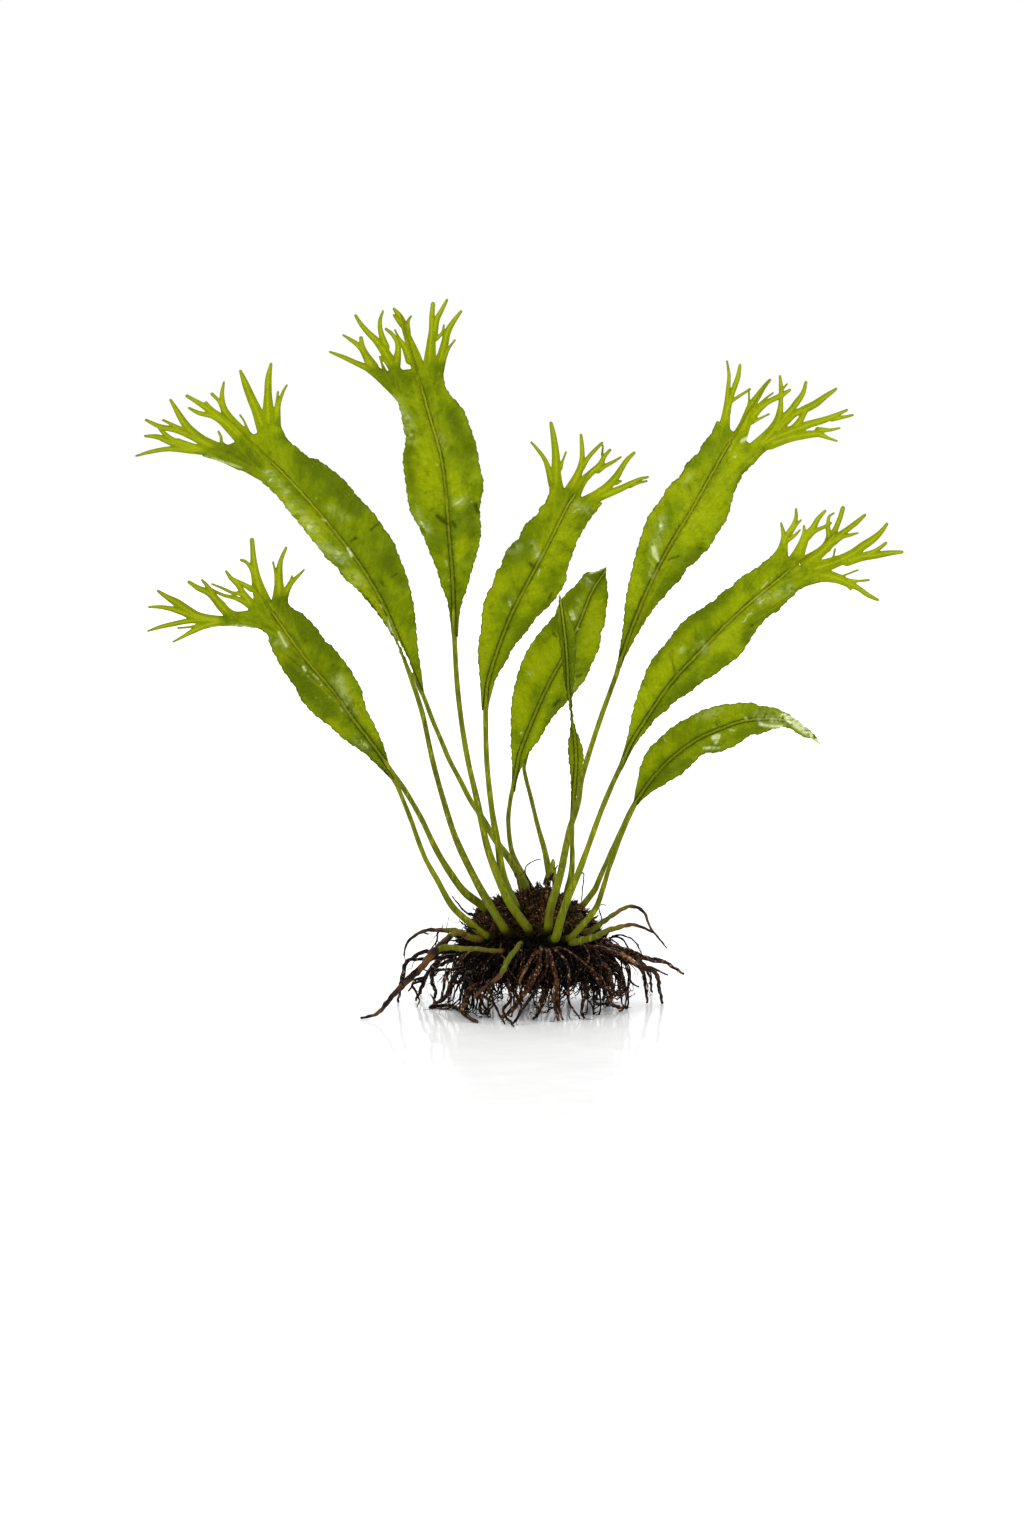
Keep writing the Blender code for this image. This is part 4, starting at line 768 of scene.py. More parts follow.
def finger_depth(u, v, line):
    """How far inside a tapering finger each grid point is, and how far it is from the finger's middle."""
    inside, middle, run = np.full(u.shape, -99.0), np.full(u.shape, 99.0), np.zeros(u.shape)
    reach = lengths(line[:, :2])
    radii = np.maximum(line[:, 2] * MM_PER_PX / 2, LEAST_TIP)
    window = 4.0
    near = (u > line[:, 0].min() - window) & (u < line[:, 0].max() + window)
    near &= (v > line[:, 1].min() - window) & (v < line[:, 1].max() + window)
    pu, pv = u[near], v[near]
    best, away, far_along = inside[near], middle[near], run[near]
    for k in range(len(line) - 1):
        (au, av), (bu, bv) = line[k, :2], line[k + 1, :2]
        du, dv = bu - au, bv - av
        share = np.clip(((pu - au) * du + (pv - av) * dv) / max(du * du + dv * dv, 1e-12), 0, 1)
        gap = np.hypot(pu - au - share * du, pv - av - share * dv)
        depth = radii[k] + (radii[k + 1] - radii[k]) * share - gap
        better = depth > best
        best = np.where(better, depth, best)
        far_along = np.where(better, reach[k] + (reach[k + 1] - reach[k]) * share, far_along)
        away = np.minimum(away, gap)
    inside[near], middle[near], run[near] = best, away, far_along
    return inside, middle, reach[-1] - run


def smooth_union(a, b, radius):
    """The larger of two depths, rounded where they meet."""
    share = np.clip(radius - np.abs(a - b), 0, None) / radius
    return np.maximum(a, b) + share * share * radius / 4


def midrib_place(u, v, line):
    """For each grid point: length along the midrib, the signed distance from it, and the midrib's depth."""
    nearest = np.full(u.shape, np.inf)
    along, side, depth = np.zeros(u.shape), np.zeros(u.shape), np.zeros(u.shape)
    reach = lengths(line[:, :2])
    for k in range(len(line) - 1):
        (au, av, ad), (bu, bv, bd) = line[k], line[k + 1]
        du, dv = bu - au, bv - av
        share = np.clip(((u - au) * du + (v - av) * dv) / (du * du + dv * dv), 0, 1)
        gap = (u - au - share * du) ** 2 + (v - av - share * dv) ** 2
        better = gap < nearest
        nearest = np.where(better, gap, nearest)
        along = np.where(better, reach[k] + (reach[k + 1] - reach[k]) * share, along)
        side = np.where(better, (du * (v - av) - dv * (u - au)) / math.hypot(du, dv), side)
        depth = np.where(better, ad + (bd - ad) * share, depth)
    return along, side, depth, np.sqrt(nearest)


def blurred(field, passes=2, reach=4):
    """A grid field with its kinks smoothed out."""
    for _ in range(passes):
        for axis in (0, 1):
            padded = np.pad(field, [(reach, reach) if a == axis else (0, 0) for a in (0, 1)], mode="edge")
            total = np.cumsum(padded, axis=axis)
            total = np.insert(total, 0, 0.0, axis=axis)
            count = 2 * reach + 1
            upper = np.take(total, range(count, total.shape[axis]), axis=axis)
            lower = np.take(total, range(total.shape[axis] - count), axis=axis)
            field = (upper - lower) / count
    return field


def soft_step(value, low, high):
    share = np.clip((value - low) / (high - low), 0, 1)
    return share * share * (3 - 2 * share)


print("grid step", GRID_STEP, "mm")

# %% [markdown]
# ## Bending and thickening the leaf
# The pressed outline gets its third dimension from a depth at every grid point: the arch of the
# midrib, the tilt and fold of the two halves, waves that grow towards the margin, and a bend of its
# own for each finger. The sheet is then given two faces half a millimetre apart, thicker at the
# midrib and thin and round at the edge.

# %% Fields over one blade
WAVE_LENGTH, WAVE_HEIGHT = 11.0, 0.75
VEIN_SPACING, VEIN_SLANT, VEIN_WIDTH = 3.4, 0.75, 0.22
FEEDER_SLANT, FEEDER_WIDTH, FEEDER_STEPS = 2.2, 0.14, 10
SHEET_HALF, EDGE_HALF, RIB_HALF = 0.19, 0.07, 0.42
RIB_EDGE = (0.54, 0.40)
BLISTER = 0.10
# The kinds of patch on a blade: painted shade, painted light, dark spots, painted glints with some whitened
# dry tips, and painted sheen. Each fades in between these depths inside its drawn border.
MARK_EDGES = {
    "deep": (-1.4, 1.2), "bright": (-1.4, 1.2), "dark": (-0.25, 0.4), "pale": (-0.05, 0.4), "sheen": (-1.2, 1.4),
}


def blade_loop(frond):
    left, right = sheet_line(frond["left"], 3), sheet_line(frond["right"], 3)
    return np.vstack([left, right[::-1]])


def marks(u, v, strokes, soft):
    """1 on the strokes that mark a blade's patches, fading to 0 around them."""
    amount = np.zeros(u.shape)
    for text in strokes:
        line = sheet_line(text, 4)
        if len(line) == 1:
            line = np.vstack([line, line + [0.01, 0.0, 0.0]])
        inside, _, _ = finger_depth(u, v, line)
        amount = np.maximum(amount, soft_step(inside, *soft))
    return amount


def feeder_line(finger, rib_line):
    """The vein that runs from a finger's inner end down to the midrib, as rows of u, v and width."""
    start = finger[-1, :2]
    heading = start - finger[-3, :2]
    heading = heading / max(np.linalg.norm(heading), 1e-6)
    gaps = np.hypot(*(rib_line[:, :2] - start).T)
    near = int(np.argmin(gaps))
    run = lengths(rib_line[:, :2])
    target = max(run[near] - FEEDER_SLANT * gaps[near] - 3.0, 0.0)
    end = np.array([np.interp(target, run, rib_line[:, k]) for k in (0, 1)])
    bend = start + heading * 0.35 * np.linalg.norm(end - start)
    share = np.linspace(0.0, 1.0, FEEDER_STEPS)[:, None]
    path = (1 - share) ** 2 * start + 2 * share * (1 - share) * bend + share**2 * end
    return np.column_stack([path, np.full(FEEDER_STEPS, 4.0)])


def blade_fields(frond, seed):
    """Everything that is known at each grid point of one blade, by name."""
    draw = np.random.default_rng(seed)
    loop = blade_loop(frond)
    fingers = [sheet_line(text, 5) for text in frond["fingers"]]
    everything = np.vstack([loop] + [finger[:, :2] for finger in fingers])
    low, high = everything.min(axis=0) - 1.5, everything.max(axis=0) + 1.5
    u, v = np.meshgrid(np.arange(low[0], high[0], GRID_STEP), np.arange(low[1], high[1], GRID_STEP))

    palm = polygon_depth(u, v, loop)
    rib_line = sheet_line(frond["midrib"], 6)
    along, side, depth, away = midrib_place(u, v, rib_line)
    total = lengths(rib_line[:, :2])[-1]
    wobble = 0.10 * np.sin(along * 2.3 + 4 * np.sign(side)) + 0.07 * np.sin(along * 5.1 + 2 * np.sign(side))
    inside = palm + wobble * soft_step(along, 2.0, 8.0)

    middle = np.full(u.shape, 99.0)
    feeder = np.zeros(u.shape)
    lift, weight = np.zeros(u.shape), np.full(u.shape, 1e-9)
    for finger in fingers:
        own, away_own, run = finger_depth(u, v, finger)
        inside = smooth_union(inside, own, JOIN_RADIUS)
        middle = np.minimum(middle, away_own + 0.4 * (run < 0.5))
        _, away_feeder, left_over = finger_depth(u, v, feeder_line(finger, rib_line))
        hair = np.exp(-((away_feeder / FEEDER_WIDTH) ** 2))
        feeder = np.maximum(feeder, hair * soft_step(palm, -0.6, 0.2))
        length = lengths(finger[:, :2])[-1]
        bend = draw.uniform(-1.0, 1.0) * min(length / 8.0, 1.0) * 1.3
        twist = draw.uniform(-0.3, 0.3)
        share = np.exp(np.clip(own, -3.0, 0.0) * 4.0) * (own > -3.0)
        lift += share * (bend * soft_step(run, 0.3 * length, length) * (run / length) + twist * own)
        weight += share
    crest = soft_step(-palm, 0.0, 2.5) if fingers else np.zeros(u.shape)

    depth = depth + frond["tilt"] * side - frond["fold"] * np.abs(side)
    beyond_u, beyond_v = u - rib_line[-1, 0], v - rib_line[-1, 1]
    heading = rib_line[-1, :2] - rib_line[-5, :2]
    heading = heading / np.linalg.norm(heading)
    ahead = np.clip(beyond_u * heading[0] + beyond_v * heading[1], 0, None)
    turn = np.arctan2(beyond_v, beyond_u)
    depth = depth + frond["curl"] * ahead + frond["ripple"] * ahead * np.sin(4 * turn + 1.0)
    depth = blurred(depth)

    span = np.clip(palm, 0, None) + away
    out = np.where(span > 0.5, away / np.maximum(span, 0.5), 0.0)
    waves = np.sin(2 * np.pi * along / WAVE_LENGTH + 1.9 * np.sign(side) + seed)
    waves = waves + 0.5 * np.sin(2 * np.pi * along / (0.47 * WAVE_LENGTH) + 0.7 * seed - np.sign(side))
    depth = depth + blurred(WAVE_HEIGHT * waves * out**2 * soft_step(span, 1.5, 6.0), 1, 2)
    depth = depth + lift / weight * soft_step(weight, 0.02, 0.3)

    slant = along - VEIN_SLANT * away + 0.25 * np.sin(away * 1.1 + seed)
    phase = slant / VEIN_SPACING + np.where(side > 0, 0.5, 0.0)
    to_vein = np.abs(phase - np.round(phase)) * VEIN_SPACING * 0.8
    vein = np.exp(-((to_vein / VEIN_WIDTH) ** 2)) * soft_step(away, 0.4, 1.0) * soft_step(palm, 0.3, 2.5) * 0.6
    vein = np.maximum(vein, np.exp(-((middle / 0.26) ** 2)) * soft_step(inside, 0.05, 0.35))
    rise = np.cos(np.clip(to_vein * np.pi * 1.2, 0, np.pi)) * soft_step(palm, 0.5, 2.5)
    rib_share = np.exp(-((away / 0.62) ** 2)) * (1 - 0.75 * soft_step(along, 0.0, total))
    half = EDGE_HALF + (SHEET_HALF - EDGE_HALF) * soft_step(inside, 0.0, 0.45)
    half = half + (RIB_HALF - SHEET_HALF) * rib_share * soft_step(inside, 0.0, 0.6) + 0.04 * vein

    fields = {"u": u, "v": v, "inside": inside, "depth": depth - BLISTER * rise, "half": half}
    fields["edge"] = np.clip(inside, 0, 5)
    rib_half = np.interp(along, (0.0, total), RIB_EDGE) * np.where(along >= total - 0.01, 0.4, 1.0)
    fields["rib"] = np.clip(side / rib_half, -6, 6)
    fields["vein"], fields["tip"], fields["feeder"] = vein, crest, feeder
    fields["reach"] = soft_step(along, 0.5 * total, 0.95 * total)
    fields["slant"], fields["away"] = slant * np.where(side > 0, 1.0, -1.0), away
    fields["shade"] = np.full(u.shape, frond["shade"])
    for kind, soft in MARK_EDGES.items():
        fields[kind] = marks(u, v, frond.get(kind, ()), soft)
    return fields


def connected(inside, start):
    """The part of the drawing that hangs together with its base."""
    keep = np.zeros(inside.shape, bool)
    stack = [start]
    rows, columns = inside.shape
    while stack:
        i, j = stack.pop()
        if 0 <= i < rows and 0 <= j < columns and not keep[i, j] and inside[i, j] > 0:
            keep[i, j] = True
            stack += [(i + 1, j), (i - 1, j), (i, j + 1), (i, j - 1)]
    return keep


sample_fields = blade_fields(FRONDS["middle"], 5)
print("middle blade grid", sample_fields["u"].shape, "deepest inside", round(float(sample_fields["inside"].max()), 2))


# %% Marching squares
def cut_outline(fields):
    """Faces and point values of the sheet that lies inside the outline, and its border edges."""
    inside = fields["inside"]
    rows, columns = inside.shape
    base = np.unravel_index(np.argmax(np.where(inside > 0, -fields["v"] + 0 * inside, -1e9)), inside.shape)
    keep = connected(inside, tuple(int(k) for k in base))
    level = np.where(keep, np.maximum(inside, 1e-4), np.minimum(inside, -1e-4))
    level = np.where(~keep & (inside > 0), -1e-3, level)
    corner_id = np.full(inside.shape, -1)
    corner_id[keep] = np.arange(keep.sum())
    names = list(fields)
    stack = np.stack([fields[name] for name in names], axis=-1)
    values = [stack[keep]]
    count = int(keep.sum())

    def crossings(first, second):
        """One new point where the outline cuts each grid edge between two neighbours."""
        nonlocal count
        cut = keep[first] != keep[second]
        share = level[first][cut] / (level[first][cut] - level[second][cut])
        share = np.clip(share, 0.1, 0.9)[:, None]
        values.append(stack[first][cut] * (1 - share) + stack[second][cut] * share)
        ids = np.full(cut.shape, -1)
        ids[cut] = count + np.arange(cut.sum())
        count += int(cut.sum())
        return ids

    across = crossings(np.s_[:, :-1], np.s_[:, 1:])
    upward = crossings(np.s_[:-1, :], np.s_[1:, :])
    corners = (corner_id[:-1, :-1], corner_id[:-1, 1:], corner_id[1:, 1:], corner_id[1:, :-1])
    edges = (across[:-1, :], upward[:, 1:], across[1:, :], upward[:, :-1])
    code = sum((corner >= 0).astype(int) << k for k, corner in enumerate(corners))
    faces, borders = [], []
    for case in range(1, 16):
        cells = code == case
        if not cells.any():
            continue
        ring = []
        for k in range(4):
            here, after = case >> k & 1, case >> (k + 1) % 4 & 1
            if here:
                ring.append((corners[k][cells], False))
            if here != after:
                ring.append((edges[k][cells], True))
        columns_of = [ids for ids, _ in ring]
        faces.append(np.stack(columns_of, axis=1))
        for k, (ids, cut) in enumerate(ring):
            following, cut_after = ring[(k + 1) % len(ring)]
            if cut and cut_after:
                borders.append(np.stack([ids, following], axis=1))
    table = dict(zip(names, np.concatenate(values).T))
    return faces, np.concatenate(borders), table


sample_faces, sample_borders, sample_table = cut_outline(sample_fields)
print("middle blade:", sum(len(group) for group in sample_faces), "cells,", len(sample_borders), "border edges")


# %% Mesh helpers
def add_object(name, mesh, *finishes):
    obj = bpy.data.objects.new(name, mesh)
    for finish in finishes:
        mesh.materials.append(finish)
    bpy.context.scene.collection.objects.link(obj)
    return obj


def new_mesh(name, points, faces, values=None):
    """A smooth-shaded mesh in metres from points in millimetres, with its point values."""
    mesh = bpy.data.meshes.new(name)
    mesh.from_pydata((np.asarray(points) * MM).tolist(), [], faces)
    mesh.shade_smooth()
    for key, numbers_ in (values or {}).items():
        mesh.attributes.new(key, "FLOAT", "POINT").data.foreach_set("value", np.asarray(numbers_, np.float32))
    return mesh


def point_normals(points, triangles):
    """Unit normals at the points of a surface."""
    corner = points[triangles]
    face = np.cross(corner[:, 1] - corner[:, 0], corner[:, 2] - corner[:, 0])
    total = np.zeros_like(points)
    for k in range(3):
        np.add.at(total, triangles[:, k], face)
    return total / np.maximum(np.linalg.norm(total, axis=1), 1e-12)[:, None]


def thick_leaf(name, frond, seed):
    """The closed mesh of one blade: two faces and a rounded rim."""
    faces, borders, table = cut_outline(blade_fields(frond, seed))
    middle = at_depth(table["u"], table["v"], table["depth"])
    fans = [group[:, (0, k, k + 1)] for group in faces for k in range(1, group.shape[1] - 1)]
    normals = point_normals(middle, np.concatenate(fans))
    half = table["half"][:, None]
    count = len(middle)
    rim = np.unique(borders)
    rim_id = np.zeros(count, int)
    rim_id[rim] = 2 * count + np.arange(len(rim))
    outward = np.zeros_like(middle)
    start, end = middle[borders[:, 0]], middle[borders[:, 1]]
    side = np.cross(end - start, normals[borders[:, 0]])
    for k in (0, 1):
        np.add.at(outward, borders[:, k], side)
    outward = outward[rim] / np.maximum(np.linalg.norm(outward[rim], axis=1), 1e-9)[:, None]
    edge_points = middle[rim] + outward * EDGE_HALF * 0.9
    points = np.vstack([middle + normals * half, middle - normals * half, edge_points])
    polygons = [face for group in faces for face in group.tolist()]
    polygons += [face for group in faces for face in (group[:, ::-1] + count).tolist()]
    a, b = borders[:, 0], borders[:, 1]
    polygons += np.stack([b, a, rim_id[a], rim_id[b]], axis=1).tolist()
    polygons += np.stack([rim_id[b], rim_id[a], a + count, b + count], axis=1).tolist()
    carried = {}
    for key in ("edge", "rib", "vein", "feeder", "tip", "reach", "slant", "away", "shade", *MARK_EDGES):
        carried[key] = np.concatenate([table[key], table[key], table[key][rim]])
    return new_mesh(name, points, polygons, carried)


# %% Blades
blades = {}
for order, (frond_name, frond) in enumerate(FRONDS.items()):
    leaf = add_object(f"{frond_name}_blade", thick_leaf(f"{frond_name}_blade", frond, order), blade_finish)
    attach(leaf, "root")
    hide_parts("blade_" + frond_name)
    blades[frond_name] = leaf
    print(leaf.name, len(leaf.data.polygons), "faces")


# %% [markdown]
# ## Stalks that grow out of the rhizome
# A stipe is a thin, slightly ridged stalk. Its path is a smooth curve through the drawn points, and its
# lower end runs on into the rhizome so that nothing floats. A tree of Geometry Nodes sweeps a round
# section along each path: the same tree later makes every root.


# %% Geometry Nodes: sweep a round section along paths
def sweep_tree():
    """Paths as plain edges in, round tapering stems out. The paths carry their own thickness."""
    group = bpy.data.node_groups.new("sweep stems", "GeometryNodeTree")
    for socket, kind in (("Geometry", "NodeSocketGeometry"), ("Sides", "NodeSocketInt"), ("Finish", "NodeSocketMaterial")):
        group.interface.new_socket(socket, in_out="INPUT", socket_type=kind)
    group.interface.new_socket("Geometry", in_out="OUTPUT", socket_type="NodeSocketGeometry")
    tree = Tree(group.nodes, group.links)
    inputs = group.nodes.new("NodeGroupInput")
    given = {output.name: Socket(tree, output) for output in inputs.outputs if output.name}
    thick = tree.add("GeometryNodeInputNamedAttribute", {"data_type": "FLOAT"}, {"Name": "thick"})
    paths = tree.add("GeometryNodeMeshToCurve", None, {"Mesh": given["Geometry"]})
    paths = tree.add("GeometryNodeSetCurveRadius", None, {"Curve": paths, "Radius": thick})
    section = tree.add("GeometryNodeCurvePrimitiveCircle", None, {"Resolution": given["Sides"], "Radius": 1.0})
    sweep = {"Curve": paths, "Profile Curve": section, "Fill Caps": True}
    stems = tree.add("GeometryNodeCurveToMesh", None, sweep)
    sweep_node = stems.output.node
    if "Scale" in sweep_node.inputs:
        tree.links.new(thick.output, sweep_node.inputs["Scale"])
    stems = tree.add("GeometryNodeSetShadeSmooth", None, {"Geometry": stems})
    stems = tree.add("GeometryNodeRealizeInstances", None, {"Geometry": stems})
    stems = tree.add("GeometryNodeSetMaterial", None, {"Geometry": stems, "Material": given["Finish"]})
    output = group.nodes.new("NodeGroupOutput")
    tree.links.new(stems.output, output.inputs[0])
    return group


def through_nodes(name, source, group, **settings):
    """Runs an object through a Geometry Nodes tree and keeps the result as a plain mesh."""
    modifier = source.modifiers.new("nodes", "NODES")
    modifier.node_group = group
    for item in group.interface.items_tree:
        if item.item_type == "SOCKET" and item.in_out == "INPUT" and item.name in settings:
            modifier[item.identifier] = settings[item.name]
    graph = bpy.context.evaluated_depsgraph_get()
    made = bpy.data.meshes.new_from_object(source.evaluated_get(graph))
    made.name = name
    source.modifiers.remove(modifier)
    bpy.data.objects.remove(source)
    obj = bpy.data.objects.new(name, made)
    bpy.context.scene.collection.objects.link(obj)
    return obj


def path_object(paths):
    """Edges along each path, with the values that its points carry."""
    mesh = bpy.data.meshes.new("paths")
    points = np.vstack([path["points"] for path in paths])
    edges, first = [], 0
    for path in paths:
        count = len(path["points"])
        edges += [(first + k, first + k + 1) for k in range(count - 1)]
        first += count
    mesh.from_pydata((points * MM).tolist(), edges, [])
    for key in (key for key in paths[0] if key != "points"):
        scale = MM if key == "thick" else 1.0
        values = np.concatenate([np.broadcast_to(path[key], len(path["points"])) for path in paths]) * scale
        mesh.attributes.new(key, "FLOAT", "POINT").data.foreach_set("value", values.astype(np.float32))
    obj = bpy.data.objects.new("paths", mesh)
    bpy.context.scene.collection.objects.link(obj)
    return obj


stem_nodes = sweep_tree()
print("stem tree has", len(stem_nodes.nodes), "nodes")

# %% Stipes
STIPE_RADII = (1.08, 0.7, 0.62)
STIPE_STEPS = 60
RHIZOME_BASE, RHIZOME_CENTRE_X = 14.0, 0.5


def stipe_path(frond, seed):
    line = sheet_line(frond["stipe"], 8)
    points = at_depth(line[:, 0], line[:, 1], line[:, 2])
    into = np.array([RHIZOME_CENTRE_X, 0.0, RHIZOME_BASE + 2.0]) - points[0]
    heart = points[0] + into / np.linalg.norm(into) * 3.0
    rib = sheet_line(frond["midrib"], 6)[:6]
    tail = at_depth(rib[1:, 0], rib[1:, 1], rib[1:, 2])
    points = spread(np.vstack([heart, points, tail]), STIPE_STEPS)
    share = np.linspace(0, 1, STIPE_STEPS + 1)
    wander = np.sin(share * 40 + seed) * 0.03
    thick = np.interp(share, (0.0, 0.08, 0.5, 0.94, 1.0), (1.2, *STIPE_RADII, 0.3)) * (1 + wander)
    thick = thick * frond.get("girth", 1.0)
    return {"points": points, "thick": thick, "along": share, "age": 0.0}


for order, (frond_name, frond) in enumerate(FRONDS.items()):
    stalk = through_nodes(f"{frond_name}_stipe", path_object([stipe_path(frond, order)]), stem_nodes, Sides=12, Finish=stipe_finish)
    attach(stalk, "root")
    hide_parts("stipe_" + frond_name)
print("stipes swept with", STIPE_STEPS, "steps each")

# %% [markdown]
# ## The rhizome
# The creeping stem is hidden by its own bark of old leaf bases and by brown scales, a millimetre or
# two long, that overlap like the fur of a small animal. A lumpy body carries them: the noise that
# roughens it is added at the points, and a Geometry Nodes tree then scatters a few thousand scales.

# %% Bark body
RHIZOME_TOP = 29.0
RHIZOME_HALF_LENGTH, RHIZOME_HALF_DEPTH = 17.0, 11.0
RHIZOME_SWELL = 1.5
MAT_TOP, MAT_HALF_LENGTH, MAT_HALF_DEPTH, MAT_CENTRE_X = 17.0, 22.0, 17.5, 1.5
MAT_PROFILE = ((0.0, 0.60), (2.5, 0.72), (6.0, 0.90), (10.5, 1.0), (14.5, 0.96), (MAT_TOP, 0.84))


def lumps(angle, height, strength):
    """A smooth bumpy factor around 1 for the rhizome and the root felt."""
    waves = np.sin(5 * angle + 0.5 * height) + 0.7 * np.sin(8 * angle - 0.9 * height + 1.3)
    return 1 + strength * (waves + 0.6 * np.sin(13 * angle + 1.7 * height + 0.4))


def ring_body(name, rings, rough, size, finish):
    """A closed body from rings of points, roughened outwards with layered noise."""
    levels, count = rings.shape[:2]
    ends = np.stack([rings[0].mean(axis=0), rings[-1].mean(axis=0)])
    points = np.vstack([rings.reshape(-1, 3), ends])
    low, high = levels * count, levels * count + 1
    faces = []
    for k in range(count):
        after = (k + 1) % count
        faces += [(low, after, k), (high, (levels - 1) * count + k, (levels - 1) * count + after)]
        for level in range(0, (levels - 1) * count, count):
            faces.append((level + k, level + after, level + count + after, level + count + k))
    mesh = new_mesh(name, points, faces)
    normals = np.array([vertex.normal[:] for vertex in mesh.vertices])
    lift = [noise.fractal(Vector(point) / size, 0.8, 2.1, 5) for point in points]
    moved = (points + normals * np.array(lift)[:, None] * rough) * MM
    mesh.vertices.foreach_set("co", moved.ravel())
    return add_object(name, mesh, finish)


def bark_material():
    made, tree, shader = new_material("rhizome bark", Metallic=0.0, Specular_IOR_Level=0.06)
    place = tree.place()
    broad, fine = tree.noise(place, 260.0, 4.0, 0.7), tree.noise(place, 1300.0, 3.0, 0.7)
    height = tree.add("ShaderNodeSeparateXYZ", None, {0: place}, 2)
    brown = tree.mix(broad.within(0.35, 0.65), colour(12, 7, 4), colour(60, 44, 18))
    brown = tree.mix(fine.within(0.58, 0.72) * 0.7, brown, colour(104, 82, 48))
    brown = tree.mix(broad.within(0.60, 0.70) * 0.5, brown, colour(66, 64, 12))
    # Painted shade: near-black low down, where the rhizome sits over the dark hollow above the roots.
    brown = tree.mix(height.within(0.0235, 0.0185), brown, colour(5, 3, 2))
    relief = tree.bump(fine, 0.0006, 0.7)
    feed(tree, shader, Base_Color=brown, Roughness=0.55 + fine * 0.3, Normal=relief)
    return made


bark_finish = bark_material()
angles = np.linspace(0, 2 * np.pi, 220, endpoint=False)
rise = np.radians(np.linspace(0, 86, 60))[:, None]
reach = np.cos(rise) * lumps(angles, 2.2 * rise, 0.07)
x = RHIZOME_CENTRE_X + RHIZOME_HALF_LENGTH * reach * np.cos(angles)
y = RHIZOME_HALF_DEPTH * reach * np.sin(angles)
swell = RHIZOME_SWELL * np.sin(0.55 * x) * np.cos(0.6 * y) * np.sin(rise) ** 0.5
z = RHIZOME_BASE + (RHIZOME_TOP - RHIZOME_BASE) * np.sin(rise) + swell
rhizome = ring_body("rhizome_bark", np.stack([x, y, z], axis=-1), 1.6, 3.2, bark_finish)
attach(rhizome, "root")
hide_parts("rhizome")
print(rhizome.name, len(rhizome.data.polygons), "faces")


# %% Scales on the bark
def scale_mesh():
    """One scale, a tiny pointed leaf a unit long, closed and slightly bent."""
    outline = [(0, 0, 0), (-0.17, 0.4, 0.03), (0, 1, 0.22), (0.17, 0.4, 0.03), (0, 0.4, 0.12), (0, 0.4, -0.02)]
    faces = [(0, 3, 4), (3, 2, 4), (2, 1, 4), (1, 0, 4), (3, 0, 5), (2, 3, 5), (1, 2, 5), (0, 1, 5)]
    mesh = bpy.data.meshes.new("scale")
    mesh.from_pydata(outline, [], faces)
    return mesh


def scatter_tree():
    """Small pieces scattered over a surface, standing off it at random angles and sizes."""
    group = bpy.data.node_groups.new("scatter pieces", "GeometryNodeTree")
    wanted = (
        ("Geometry", "NodeSocketGeometry"), ("Piece", "NodeSocketObject"), ("Density", "NodeSocketFloat"),
        ("Shortest", "NodeSocketFloat"), ("Longest", "NodeSocketFloat"), ("Seed", "NodeSocketInt"),
        ("Finish", "NodeSocketMaterial"),
    )
    for socket, kind in wanted:
        group.interface.new_socket(socket, in_out="INPUT", socket_type=kind)
    group.interface.new_socket("Geometry", in_out="OUTPUT", socket_type="NodeSocketGeometry")
    tree = Tree(group.nodes, group.links)
    inputs = group.nodes.new("NodeGroupInput")
    given = {output.name: Socket(tree, output) for output in inputs.outputs if output.name}
    spots = tree.add(
        "GeometryNodeDistributePointsOnFaces", None,
        {"Mesh": given["Geometry"], "Density": given["Density"], "Seed": given["Seed"]},
    )
    turned = Socket(tree, spots.output.node.outputs["Rotation"])
    spin = tree.add("FunctionNodeRandomValue", {"data_type": "FLOAT_VECTOR"}, {0: (0.0, -0.3, 0.0), 1: (1.1, 0.3, 6.28), "Seed": given["Seed"]})
    spin = tree.add("FunctionNodeEulerToRotation", None, {"Euler": spin})
    turned = tree.add("FunctionNodeRotateRotation", {"rotation_space": "LOCAL"}, {"Rotation": turned, "Rotate By": spin})
    size = tree.add("FunctionNodeRandomValue", {"data_type": "FLOAT"}, {2: given["Shortest"], 3: given["Longest"], "Seed": given["Seed"]}, 1)
    piece = tree.add("GeometryNodeObjectInfo", None, {"Object": given["Piece"]})
    piece = Socket(tree, piece.output.node.outputs["Geometry"])
    placed = tree.add("GeometryNodeInstanceOnPoints", None, {"Points": spots, "Instance": piece, "Rotation": turned, "Scale": size})
    placed = tree.add("GeometryNodeRealizeInstances", None, {"Geometry": placed})
    placed = tree.add("GeometryNodeSetMaterial", None, {"Geometry": placed, "Material": given["Finish"]})
    output = group.nodes.new("NodeGroupOutput")
    tree.links.new(placed.output, output.inputs[0])
    return group


def scale_material():
    made, tree, shader = new_material("scales", Metallic=0.0, Specular_IOR_Level=0.06)
    broad, fine = tree.noise(tree.place(), 420.0, 3.0), tree.noise(tree.place(), 1500.0, 2.0)
    height = tree.add("ShaderNodeSeparateXYZ", None, {0: tree.place()}, 2)
    brown = tree.mix(broad.within(0.4, 0.6), colour(22, 12, 6), colour(84, 56, 26))
    brown = tree.mix(fine.within(0.56, 0.66) * 0.8, brown, colour(156, 128, 80))
    # Painted shade: near-black low down, where the scales sit over the dark hollow above the roots.
    brown = tree.mix(height.within(0.0235, 0.0185) * 0.9, brown, colour(6, 3, 2))
    feed(tree, shader, Base_Color=brown, Roughness=0.4 + fine * 0.3)
    return made


scale_piece = add_object("one scale", scale_mesh())
host = bpy.data.objects.new("scale host", rhizome.data.copy())
bpy.context.scene.collection.objects.link(host)
scales = through_nodes(
    "rhizome_scales", host, scatter_tree(), Piece=scale_piece, Density=2.2e6, Shortest=0.0009, Longest=0.0021,
    Seed=3, Finish=scale_material(),
)
bpy.data.objects.remove(scale_piece)
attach(scales, "root")
print(scales.name, len(scales.data.polygons), "faces")
